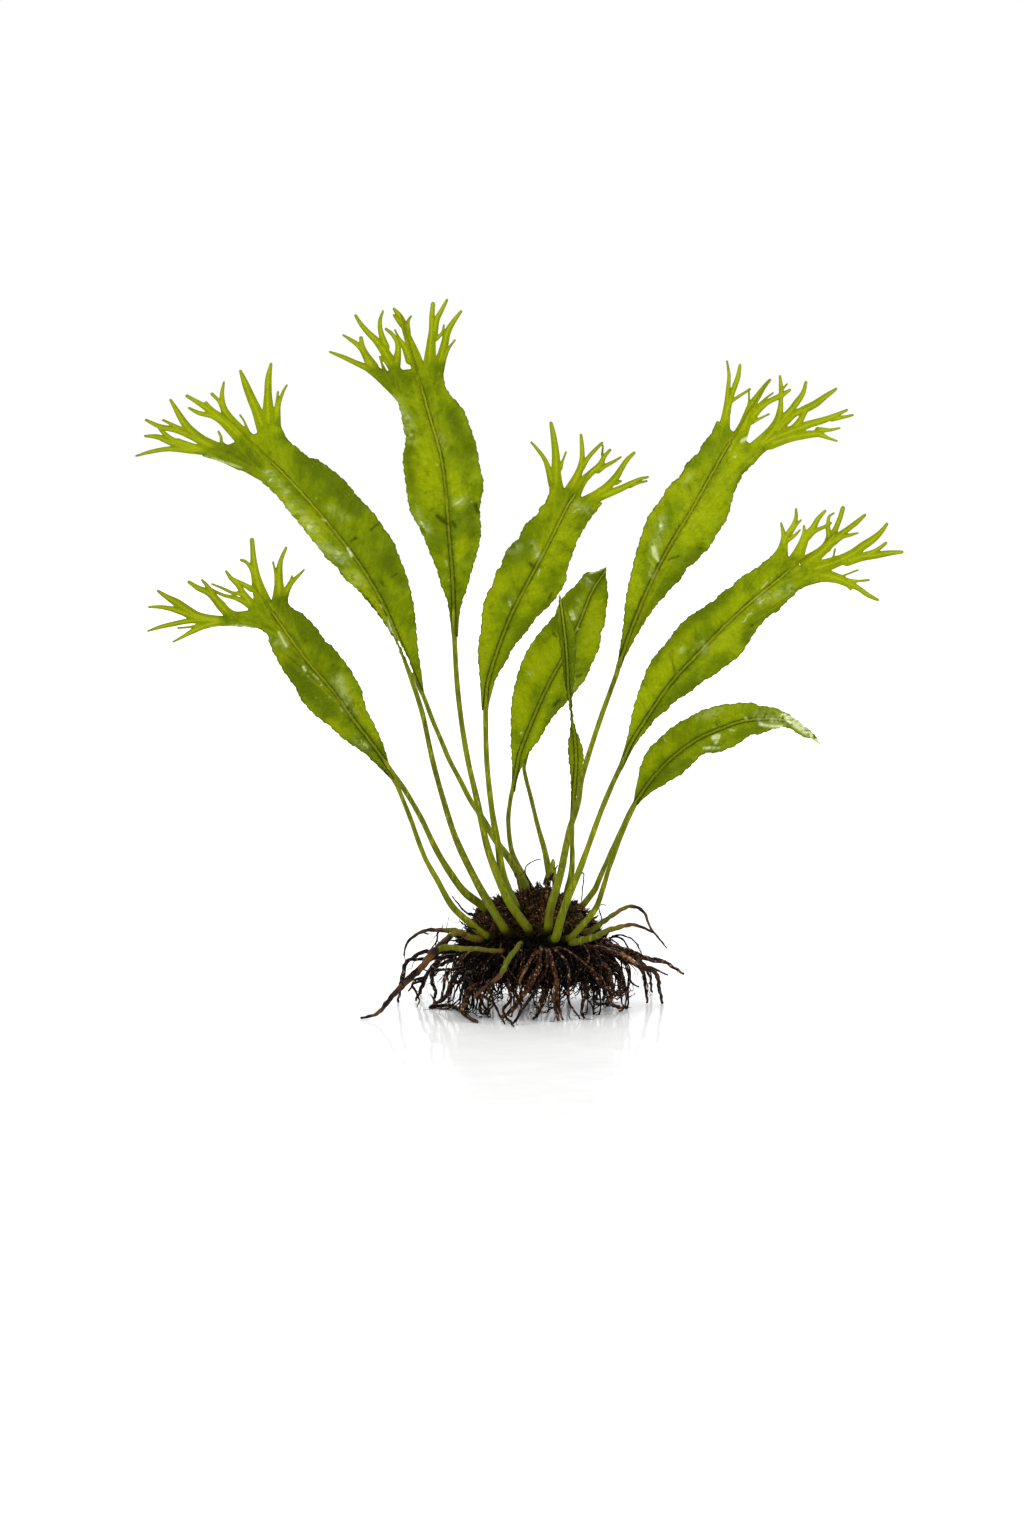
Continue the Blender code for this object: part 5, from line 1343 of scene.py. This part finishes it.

# %% [markdown]
# ## Roots
# Every root is a path with a thickness and a darkness for age and shade: young roots are wiry and red-brown,
# old ones nearly black, and each is painted darker as shade where it leaves the clump. The main roots are
# drawn one by one; the felt between them is grown by rule, from a seed.

# %% The drawn stubs and roots
# Each line is column, row and depth, then its radii from base to end, and how brown it is from 0 to 1.
STUBS = (
    ("472,938,-13 456,931,-16 437,930,-17 421,932,-17 407,943,-17 404,956,-17", (0.95, 0.75, 0.55, 0.4, 0.2), 0.45),
    (
        "498,951,-19 472,949,-22 437,949,-23 422,967,-23 395,993,-20 378,1013,-18 361,1018,F",
        (0.55, 0.55, 0.75, 0.88, 0.75, 0.6, 0.3), 0.40,
    ),
    ("456,933,-17 447,939,-20 437,949,-23 424,965,-25", (0.65, 0.75, 0.85, 0.75), 0.35),
    ("520,943,-19 516,949,-21 507,962,-23 498,978,-25 483,989,-26 474,998,-27", (0.3, 0.62, 0.72, 0.65, 0.5, 0.35), 0.6),
    ("592,930,-12 610,917,-13 630,906,-14 644,913,-15 652,930,-16 667,948,-17", (0.82, 0.64, 0.48, 0.3, 0.16), 0.52),
    ("576,942,-18 596,936,-20 612,929,-21 634,925,-22 652,932,-23 664,944,-24", (0.85, 0.82, 0.68, 0.36, 0.18), 0.60),
    ("522,895,-2 519,884,-1.5 515,873,-1", (0.6, 0.5, 0.35), 0.9),
)
STUB_DIRT = 0.36
SHOOT = ("556,886,3 553,872,2.5 553,859,2", (0.8, 1.0, 0.45))
ROOTS = (
    ("539,968,-20 528,989,-21 511,1010,-20 502,1019,F", (0.75, 0.62, 0.35), 0.8),
    ("512,990,-19 522,1006,-24 513,1024,F", (0.6, 0.5, 0.3), 0.3),
    ("470,990,-15 463,1012,-19 478,1022,F", (0.7, 0.6, 0.35), 0.5),
    ("455,975,-14 447,995,-9 432,1006,F", (0.7, 0.6, 0.35), 0.3),
    ("442,958,-8 431,972,-7 435,991,-2 434,1004,F", (0.6, 0.5, 0.3), 0.1),
    ("444,952,-2 421,953,-2 405,965,0 401,984,3 398,1002,F", (0.6, 0.5, 0.3), 0.1),
    ("446,962,5 427,974,7 419,993,8 416,1001,F", (0.55, 0.5, 0.3), 0.3),
    ("543,990,-17 541,1008,-19 533,1020,F", (0.6, 0.5, 0.3), 0.2),
    ("556,985,-18 555,1008,-20 559,1021,F", (0.75, 0.6, 0.35), 0.6),
    ("588,985,-15 582,1006,-17 584,1019,F", (0.6, 0.5, 0.3), 0.2),
    ("607,968,-12 612,989,-9 610,1003,-6 622,1008,F", (0.75, 0.65, 0.35), 0.8),
    ("617,952,-7 638,966,-6 655,972,-3 662,1003,F", (0.75, 0.65, 0.35), 0.4),
    ("616,947,-1 643,957,-2 664,962,-3 684,974,-4", (0.8, 0.65, 0.3), 0.8),
    ("628,950,2 638,961,3 645,981,4 647,1003,F", (0.65, 0.5, 0.3), 0.2),
    ("612,954,9 634,957,12 648,972,18 652,992,F", (0.6, 0.5, 0.3), 0.4),
    ("600,958,14 616,966,17 624,983,20 626,993,F", (0.65, 0.55, 0.3), 0.5),
    ("580,960,17 588,970,21 592,984,24 598,990,F", (0.65, 0.55, 0.3), 0.2),
    ("556,960,18 558,970,23 554,982,27 552,988,F", (0.7, 0.55, 0.3), 0.6),
    ("528,960,18 522,970,23 526,983,26 520,989,F", (0.65, 0.55, 0.3), 0.3),
    ("500,960,17 490,970,20 482,984,23 476,991,F", (0.65, 0.55, 0.3), 0.5),
    ("474,958,14 460,968,17 452,984,20 446,993,F", (0.65, 0.55, 0.3), 0.2),
    ("456,954,9 438,960,13 426,978,17 420,994,F", (0.6, 0.5, 0.3), 0.4),
)
THIN_ROOTS = (
    ("541,948,-16 539,962,-18 531,978,-20 523,995,-20 513,1010,-18 500,1017,F", (0.5, 0.45, 0.4, 0.35, 0.2), 0.9),
    ("546,950,-16 547,966,-18 539,982,-18 532,996,-15 520,1012,F", (0.6, 0.5, 0.45, 0.3), 0.5),
    ("548,951,-16 553,965,-18 557,985,-19 558,1003,-20 563,1020,F", (0.7, 0.6, 0.5, 0.25), 0.8),
    ("543,950,-16 534,955,-18 526,968,-20 520,984,-21 523,1002,-21", (0.6, 0.5, 0.35, 0.25), 0.6),
    ("556,950,-16 566,962,-18 569,984,-19 568,1000,-19 580,1019,F", (0.55, 0.45, 0.35, 0.2), 0.3),
    ("560,948,-16 572,953,-18 584,963,-18 602,978,-18 606,990,-18", (0.35, 0.25, 0.2, 0.12), 1.0),
    ("582,945,-15 588,952,-17 588,962,-17 584,972,-18", (0.22, 0.2, 0.12), 1.0),
    ("600,948,-14 624,956,-18 640,966,-20 652,968,-21 668,975,-22", (0.6, 0.55, 0.4, 0.2), 0.9),
    ("612,946,-12 636,953,-16 654,962,-18 666,961,-19", (0.5, 0.4, 0.35, 0.25), 0.5),
    ("619,955,-9 626,966,-11 631,982,-13 639,987,-14", (0.4, 0.35, 0.2), 0.1),
    ("623,935,-9 634,941,-11 640,950,-12 642,956,-12", (0.25, 0.2, 0.12), 0.0),
    ("620,937,-9 627,946,-10 629,953,-10", (0.3, 0.25, 0.15), 0.0),
    ("635,964,-16 641,972,-17 644,982,-17", (0.35, 0.25, 0.15), 0.1),
    ("649,970,-20 651,980,-20 649,984,-20", (0.3, 0.2, 0.12), 0.0),
    ("600,968,-14 598,990,-10 595,1002,-4 608,1004,F 620,1006,F", (0.5, 0.4, 0.3, 0.2), 0.4),
    ("592,972,-15 600,985,-16 611,992,-17 630,992,-18", (0.45, 0.4, 0.3, 0.2), 0.2),
    ("451,936,-17 441,951,-20 430,958,-21 408,961,-22 404,978,-23 401,983,-23", (0.5, 0.45, 0.4, 0.2), 0.0),
    ("436,958,-22 421,966,-23 410,975,-24 402,982,-24 404,986,-24", (0.4, 0.35, 0.3, 0.15), 0.1),
    ("412,984,-21 415,989,-21 419,1000,-21 417,1007,-20", (0.35, 0.35, 0.25, 0.12), 0.0),
    ("415,980,-26 411,988,-26 408,991,-26", (0.35, 0.35, 0.2), 0.0),
    ("439,931,-17 436,942,-17 431,949,-17", (0.3, 0.25, 0.15), 0.1),
    ("447,930,-16.5 448,921,-16 449,916,-16", (0.12, 0.1, 0.06), 0.3),
    ("442,930,-16.5 442,927,-16 443,923,-16", (0.16, 0.14, 0.08), 0.2),
    ("418,933,-17 410,940,-17 406,944,-17 404,955,-17 407,961,-17", (0.2, 0.12, 0.1, 0.08), 0.0),
    ("440,971,-19 433,976,-20 428,971,-20 422,969,-20", (0.25, 0.2, 0.15), 0.1),
    ("434,972,-18 432,984,-18 437,991,-18", (0.4, 0.35, 0.2), 0.0),
    ("448,972,-15 443,990,-15 441,1000,-14", (0.45, 0.4, 0.3), 0.3),
    ("452,985,-13 444,1000,-12 436,1002,-12 430,994,-12", (0.45, 0.4, 0.3, 0.15), 0.2),
    ("429,1008,F 447,1006,F 459,1011,F 468,1018,F 477,1023,F", (0.2, 0.4, 0.45, 0.5, 0.15), 0.4),
    ("466,975,-16 478,992,-19 494,1004,-22 500,1016,-24 505,1024,F", (0.5, 0.45, 0.4, 0.2), 0.3),
    ("486,984,-19 493,1000,-15 484,1012,F", (0.4, 0.3, 0.2), 0.3),
    ("478,992,-17 487,1009,-15 495,1003,-14", (0.35, 0.3, 0.2), 0.2),
    ("508,985,-20 511,1000,-21 503,1010,-21 508,1020,F 514,1027,F", (0.45, 0.4, 0.3, 0.15), 0.5),
    ("530,884,-2 525,871,-2 529,863,-2 541,859,-2", (0.2, 0.18, 0.12), 0.1),
    ("583,872,-6 583,886,-6 581,906,-7", (0.16, 0.16, 0.12), 0.1),
    ("601,920,-8 599,908,-8 603,904,-8 606,906,-8", (0.18, 0.16, 0.1), 0.1),
    ("466,912,-9 458,904,-9 452,896,-9", (0.3, 0.25, 0.15), 0.3),
    ("467,927,-14 461,922,-14 459,919,-14", (0.2, 0.16, 0.1), 0.0),
    ("538,906,-5 538,894,-5 537,881,-5", (0.9, 0.8, 0.15), 0.1),
    ("547,884,1 553,873,2 558,865,2", (0.15, 0.5, 0.12), 0.5),
    ("527,905,-7 524,894,-7 522,888,-7", (0.7, 0.55, 0.2), 0.7),
    ("546,903,-7 547,893,-7 549,886,-7", (0.6, 0.5, 0.15), 0.6),
    ("512,909,-8 507,900,-8 505,896,-8", (0.7, 0.55, 0.25), 0.5),
    ("566,905,-8 568,896,-8 571,891,-8", (0.6, 0.45, 0.2), 0.4),
)

# %% Main roots, old stubs and the shoot


def stem_knots(text, end_radius):
    """The knots of a drawn stem in space; one marked F lies on the floor."""
    knots = []
    for column, row, depth in numbers(text):
        u, v = on_sheet(column, row)
        knots.append(on_floor(u, v, end_radius) if math.isnan(depth) else at_depth(u, v, depth))
    return np.array(knots)


def stem_path(knots, radii, draw, reach_in=3.0, waver=0.25):
    """A stem that begins inside the clump, wavers slightly and stays above the floor."""
    inward = np.array([MAT_CENTRE_X, 0.0, 16.0]) - knots[0]
    start = knots[0] + inward / np.linalg.norm(inward) * reach_in
    steps = int(lengths(knots)[-1] / 0.7) + 8
    points = spread(smooth_line(np.vstack([start, knots]), 8), steps)
    share = np.linspace(0, 1, steps + 1)
    turn = draw.uniform(0, 6.28, (3, 2))
    reach_mm = share * lengths(points)[-1]
    for axis in range(3):
        points[:, axis] += waver * np.sin(reach_mm * 0.9 + turn[axis, 0]) * np.minimum(share * 4, 1) * (1 - share) ** 0.3
        points[:, axis] += waver * 0.4 * np.sin(reach_mm * 2.3 + turn[axis, 1]) * np.minimum(share * 4, 1)
    knots_of = np.interp(share, np.linspace(0, 1, len(radii)), radii)
    thick = knots_of * (1 + 0.10 * np.sin(reach_mm * 3.1 + turn[0, 0]) + 0.07 * np.sin(reach_mm * 7.3 + turn[1, 1]))
    points[:, 2] = np.maximum(points[:, 2], thick)
    return {"points": points, "thick": thick, "along": share}


def root_material():
    """Wiry roots: red-brown where young, nearly black where old and in painted shade near the clump, with painted
    highlights and painted glints that get a glossy coat.
    """
    made, tree, shader = new_material("roots", Metallic=0.0, Specular_IOR_Level=0.05, Coat_Roughness=0.15)
    place = tree.place()
    age, tone = tree.attribute("age"), tree.attribute("tone")
    broad, fine = tree.noise(place, 300.0, 3.0), tree.noise(place, 1600.0, 3.0)
    brown = tree.mix(tone, colour(8, 5, 4), colour(62, 36, 19))
    # Painted highlights: lighter brown patches on the redder roots.
    brown = tree.mix(broad.within(0.52, 0.66) * (tone * 0.8), brown, colour(148, 104, 64))
    brown = tree.mix(fine.within(0.54, 0.42) * 0.75, brown, colour(9, 5, 4))
    # Darker for age, and as painted shade near the clump.
    brown = tree.mix(age, brown, colour(3, 1, 1))
    glint = fine.within(0.61, 0.68) * (1 - age)
    brown = tree.mix(glint * 0.7, brown, colour(176, 146, 116))
    relief = tree.bump(fine, 0.0003, 0.6)
    feed(tree, shader, Base_Color=brown, Roughness=0.34 + broad * 0.3, Coat_Weight=glint * 0.5, Normal=relief)
    return made


def drawn_paths(drawn, draw, waver):
    paths = []
    for text, radii, tone in drawn:
        path = stem_path(stem_knots(text, radii[-1]), radii, draw, waver=waver)
        # The first third of each drawn root is darker: its age, and painted shade where it leaves the hollow under the
        # rhizome.
        paths.append({**path, "age": 0.7 * (1 - soft_step(path["along"], 0.0, 0.3)), "tone": tone})
    return paths


root_finish = root_material()
draw = np.random.default_rng(41)
root_paths = drawn_paths(ROOTS, draw, 0.22) + drawn_paths(THIN_ROOTS, draw, 0.12)
main_roots = through_nodes("main_roots", path_object(root_paths), stem_nodes, Sides=10, Finish=root_finish)
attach(main_roots, "root")
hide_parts(*[f"root_{k:02d}" for k in range(1, len(ROOTS) + 1)])

stub_paths = []
for text, radii, turning in STUBS:
    path = stem_path(stem_knots(text, radii[-1]), radii, draw, waver=0.12)
    stub_paths.append({**path, "age": np.maximum(soft_step(path["along"], turning - 0.12, turning + 0.14), STUB_DIRT)})
stubs = through_nodes("old_stubs", path_object(stub_paths), stem_nodes, Sides=12, Finish=stipe_finish)
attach(stubs, "root")
stub_nodes = ("stub_left_upper", "stub_left_long", "stub_front", "stub_right_upper", "stub_right_lower", "stub_short")
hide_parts(*stub_nodes)

shoot_path = stem_path(stem_knots(SHOOT[0], 0.4), SHOOT[1], draw, waver=0.05)
shoot_path["thick"] = shoot_path["thick"] * np.where(shoot_path["along"] > 0.97, 0.5, 1.0)
shoot = through_nodes("young_shoot_green", path_object([{**shoot_path, "age": 0.0}]), stem_nodes, Sides=14, Finish=stipe_finish)
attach(shoot, "root")
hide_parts("young_shoot")
print("main roots", len(main_roots.data.polygons), "faces, stubs", len(stubs.data.polygons))

# %% Root felt
FELT_SEED = 7
CORE_SHARE = 0.76
CORE_BASE = 7.0
TUFTS = 24


def mat_share(height):
    return np.interp(height, [row[0] for row in MAT_PROFILE], [row[1] for row in MAT_PROFILE])


def felt_material():
    made, tree, shader = new_material("felt core", Metallic=0.0, Specular_IOR_Level=0.1, Roughness=0.9)
    fine = tree.noise(tree.place(), 900.0, 4.0, 0.7)
    # Near-black: the dark roots of the tangle, with painted shade deep inside it.
    feed(tree, shader, Base_Color=tree.mix(fine.within(0.4, 0.75), colour(3, 2, 2), colour(16, 10, 7)))
    return made


heights = np.linspace(CORE_BASE, 18.5, 40)[:, None]
reach = CORE_SHARE * mat_share(heights) * lumps(angles, 0.15 * heights, 0.07)
reach = reach * np.sin(np.clip((heights - CORE_BASE + 0.9) / 5.0, 0.15, 1.0) * np.pi / 2)
x = MAT_CENTRE_X + MAT_HALF_LENGTH * reach * np.cos(angles)
core = ring_body(
    "root_felt_core", np.stack([x, MAT_HALF_DEPTH * reach * np.sin(angles), heights + 0 * x], axis=-1), 2.4, 2.4, felt_material()
)
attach(core, "root")
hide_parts("root_mat")


def round_the_felt(angle, share, height):
    return np.stack(
        [MAT_CENTRE_X + MAT_HALF_LENGTH * share * np.cos(angle), MAT_HALF_DEPTH * share * np.sin(angle), height], axis=1
    )


def fine_root(points, thin, draw, swing, tone):
    """A fine root along these points, with wiggles and an uneven thickness."""
    t = np.linspace(0, 1, len(points))
    for axis in range(3):
        points[:, axis] += swing * np.sin(t * draw.uniform(5, 13) + draw.uniform(0, 6.28)) * np.minimum(t * 3, 1)
        points[:, axis] += swing * 0.35 * np.sin(t * draw.uniform(18, 30) + draw.uniform(0, 6.28)) * np.minimum(t * 3, 1)
    thick = thin * (1.05 - 0.65 * t) * (1 + 0.15 * np.sin(t * draw.uniform(25, 50)))
    points[:, 2] = np.maximum(points[:, 2], thick)
    # Darker towards the start, inside the felt: age and painted shade.
    return {"points": points, "thick": thick, "along": t, "age": draw.uniform(0.2, 0.8) * (1 - t), "tone": tone}


def hugging_root(draw):
    """A root that lies over the felt and hangs down it."""
    t = np.linspace(0, 1, 17)
    top = draw.uniform(10.0, 19.0)
    bottom = draw.uniform(4.5, min(9.5, top - 3))
    height = top + draw.uniform(0.2, 1.2) * np.sin(np.pi * np.minimum(t * 3, 1)) - (top - bottom) * soft_step(t, 0.1, 0.95)
    share = 0.62 + (draw.uniform(0.74, 0.92) * mat_share(height) - 0.62) * soft_step(t, 0.0, 0.4)
    turn = draw.uniform(0, 2 * np.pi) + draw.normal(0, 0.35) * t
    # Roots lying on the felt get a low tone, so they are darker: painted shade of the hollow under the rhizome.
    tone = np.clip(draw.normal(0.0, 0.22), 0, 1)
    return fine_root(round_the_felt(turn, share, height), draw.uniform(0.13, 0.36), draw, draw.uniform(0.2, 0.7), tone)


def hanging_root(draw, tuft):
    """A root of one tuft that leaves the felt's shoulder and hangs towards the floor."""
    t = np.linspace(0, 1, 21)
    top = draw.uniform(9.0, 18.0)
    bottom = max(0.0, tuft["bottom"] + draw.normal(0, 1.6))
    height = top + draw.uniform(0.0, 1.5) * np.sin(np.pi * np.minimum(t * 3, 1)) - (top - bottom) * soft_step(t, 0.1, 0.85)
    outer = tuft["outer"] + draw.normal(0, 0.04)
    flick = tuft["flick"] + draw.normal(0, 0.07)
    share = 0.62 + (outer - 0.62) * soft_step(t, 0.0, 0.45) + flick * soft_step(t, 0.6, 1.0)
    turn = tuft["turn"] + draw.normal(0, 0.16) * (1 - 0.6 * t) + (tuft["drift"] + draw.normal(0, 0.08)) * t
    tone = np.clip(tuft["tone"] + draw.normal(0, 0.25), 0, 1)
    return fine_root(round_the_felt(turn, share, height), draw.uniform(0.14, 0.40), draw, draw.uniform(0.3, 0.9), tone)


def spraying_root(draw):
    """A root that springs outwards from below the rhizome and ends in the air."""
    t = np.linspace(0, 1, 17)
    top = draw.uniform(13.0, 18.5)
    height = top + draw.uniform(0.0, 1.5) * np.sin(np.pi * t) - draw.uniform(2.0, 11.0) * t**1.8
    share = 0.55 + (draw.uniform(0.95, 1.25) - 0.55) * t**0.8
    turn = draw.uniform(0, 2 * np.pi) + draw.normal(0, 0.2) * t
    tone = np.clip(draw.normal(0.45, 0.35), 0, 1)
    return fine_root(round_the_felt(turn, share, height), draw.uniform(0.12, 0.34), draw, draw.uniform(0.3, 0.7), tone)


def side_root(draw, parent):
    """A short thread that branches off another root."""
    k = draw.integers(len(parent["points"]) // 4, len(parent["points"]) - 1)
    start, ahead = parent["points"][k], parent["points"][k] - parent["points"][k - 1]
    aside = draw.normal(0, 1, 3)
    heading = ahead / np.linalg.norm(ahead) + aside / np.linalg.norm(aside) * 0.9
    t = np.linspace(0, 1, 9)
    points = start + np.multiply.outer(t * draw.uniform(1.5, 4.5), heading / np.linalg.norm(heading))
    points[:, 2] -= 1.2 * t**2
    return fine_root(points, min(draw.uniform(0.07, 0.15), parent["thick"][k] * 0.8), draw, 0.25, parent["tone"])


draw = np.random.default_rng(FELT_SEED)
tufts = [
    {
        "turn": 2 * np.pi * (order + draw.uniform(-0.35, 0.35)) / TUFTS, "outer": draw.uniform(0.78, 1.04),
        "bottom": draw.choice([-0.5, 3.5], p=[0.6, 0.4]), "flick": draw.uniform(-0.12, 0.12),
        "drift": draw.normal(0, 0.16), "tone": draw.uniform(-0.15, 0.45),
    }
    for order in range(TUFTS)
]
felt_paths = [hugging_root(draw) for _ in range(330)]
felt_paths += [hanging_root(draw, tufts[order % TUFTS]) for order in range(150)]
felt_paths += [spraying_root(draw) for _ in range(70)]
parents = felt_paths[330:] + [path for path in root_paths if len(path["points"]) > 12]
side_paths = [side_root(draw, parents[draw.integers(len(parents))]) for _ in range(260)]
felt = through_nodes("root_felt", path_object(felt_paths), stem_nodes, Sides=6, Finish=root_finish)
threads = through_nodes("root_threads", path_object(side_paths), stem_nodes, Sides=5, Finish=root_finish)
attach(felt, "root")
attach(threads, "root")
print("felt of", len(felt_paths), "fine roots,", len(felt.data.polygons), "faces")

# %% Bristles on the rhizome
BRISTLES = 240


def bristle(draw, spot, normal):
    """A stiff fibre of an old leaf base."""
    heading = np.array(normal) + draw.normal(0, 0.35, 3) + [0, 0, 0.5]
    t = np.linspace(0, 1, 7)
    length = draw.uniform(1.0, 3.4)
    points = np.array(spot) / MM + np.multiply.outer(t * length - 0.4, heading / np.linalg.norm(heading))
    points = points + np.multiply.outer(t**2, draw.normal(0, 0.5, 3))
    thick = draw.uniform(0.08, 0.2) * (1.05 - 0.85 * t)
    return {"points": points, "thick": thick, "along": t, "age": draw.uniform(0, 0.4), "tone": draw.uniform(0.1, 1.0)}


upper = [face for face in rhizome.data.polygons if face.center.z > 0.021]
chosen = draw.choice(len(upper), BRISTLES)
bristle_paths = [bristle(draw, upper[k].center, upper[k].normal) for k in chosen]
bristles = through_nodes("rhizome_bristles", path_object(bristle_paths), stem_nodes, Sides=5, Finish=root_finish)
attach(bristles, "root")
print(BRISTLES, "bristles")

# %% [markdown]
# ## Floor and light
# The plant stands on a glossy white floor in a white studio, with a soft shadow painted grey into the floor
# around it: very large soft lights from the left, the right and above, and a weaker one behind, which shines
# through the blades.


# %% Floor
def floor_material():
    made, tree, shader = new_material("studio floor", Roughness=0.08, IOR=1.2)
    near = tree.add("ShaderNodeVectorMath", {"operation": "LENGTH"}, {0: tree.place()}, "Value")
    waves = tree.noise(tree.place(), 45.0, 2.0)
    # Painted shadow: the floor is painted grey near the plant and whiter further out.
    floor_and_painted_shadow = tree.mix(near.within(0.12, 0.7), (0.845, 0.845, 0.85, 1.0), (0.985, 0.985, 0.985, 1.0))
    feed(tree, shader, Base_Color=floor_and_painted_shadow, Normal=tree.bump(waves, 0.0008, 0.3))
    return made


FLOOR_SIDE = 6.0
floor_mesh = bpy.data.meshes.new("floor")
corner = FLOOR_SIDE / 2
floor_mesh.from_pydata([(-corner, -corner, 0), (corner, -corner, 0), (corner, corner, 0), (-corner, corner, 0)], [], [(0, 1, 2, 3)])
floor = add_object("floor", floor_mesh, floor_material())
print("floor", FLOOR_SIDE, "m wide")


# %% Light
def soft_light(name, place, target, size, watts):
    data = bpy.data.lights.new(name, "AREA")
    data.shape, data.size, data.energy = "SQUARE", size, watts
    light = bpy.data.objects.new(name, data)
    light.location = place
    light.rotation_euler = (Vector(target) - Vector(place)).to_track_quat("-Z", "Y").to_euler()
    bpy.context.scene.collection.objects.link(light)


PLANT_MIDDLE = (0.0, 0.0, 0.08)
soft_light("left light", (-0.9, -0.7, 0.9), PLANT_MIDDLE, 0.7, 9.0)
soft_light("right light", (1.0, -0.5, 0.7), PLANT_MIDDLE, 0.7, 6.0)
soft_light("back light", (0.1, 1.1, 0.8), PLANT_MIDDLE, 0.9, 10.0)
world = bpy.data.worlds.new("studio")
world.use_nodes = True
sky = world.node_tree.nodes["Background"]
sky.inputs["Color"].default_value = (1.0, 1.0, 1.0, 1.0)
sky.inputs["Strength"].default_value = 1.0
bpy.context.scene.world = world
bpy.context.scene.view_settings.view_transform = "Standard"
print("lights ready")
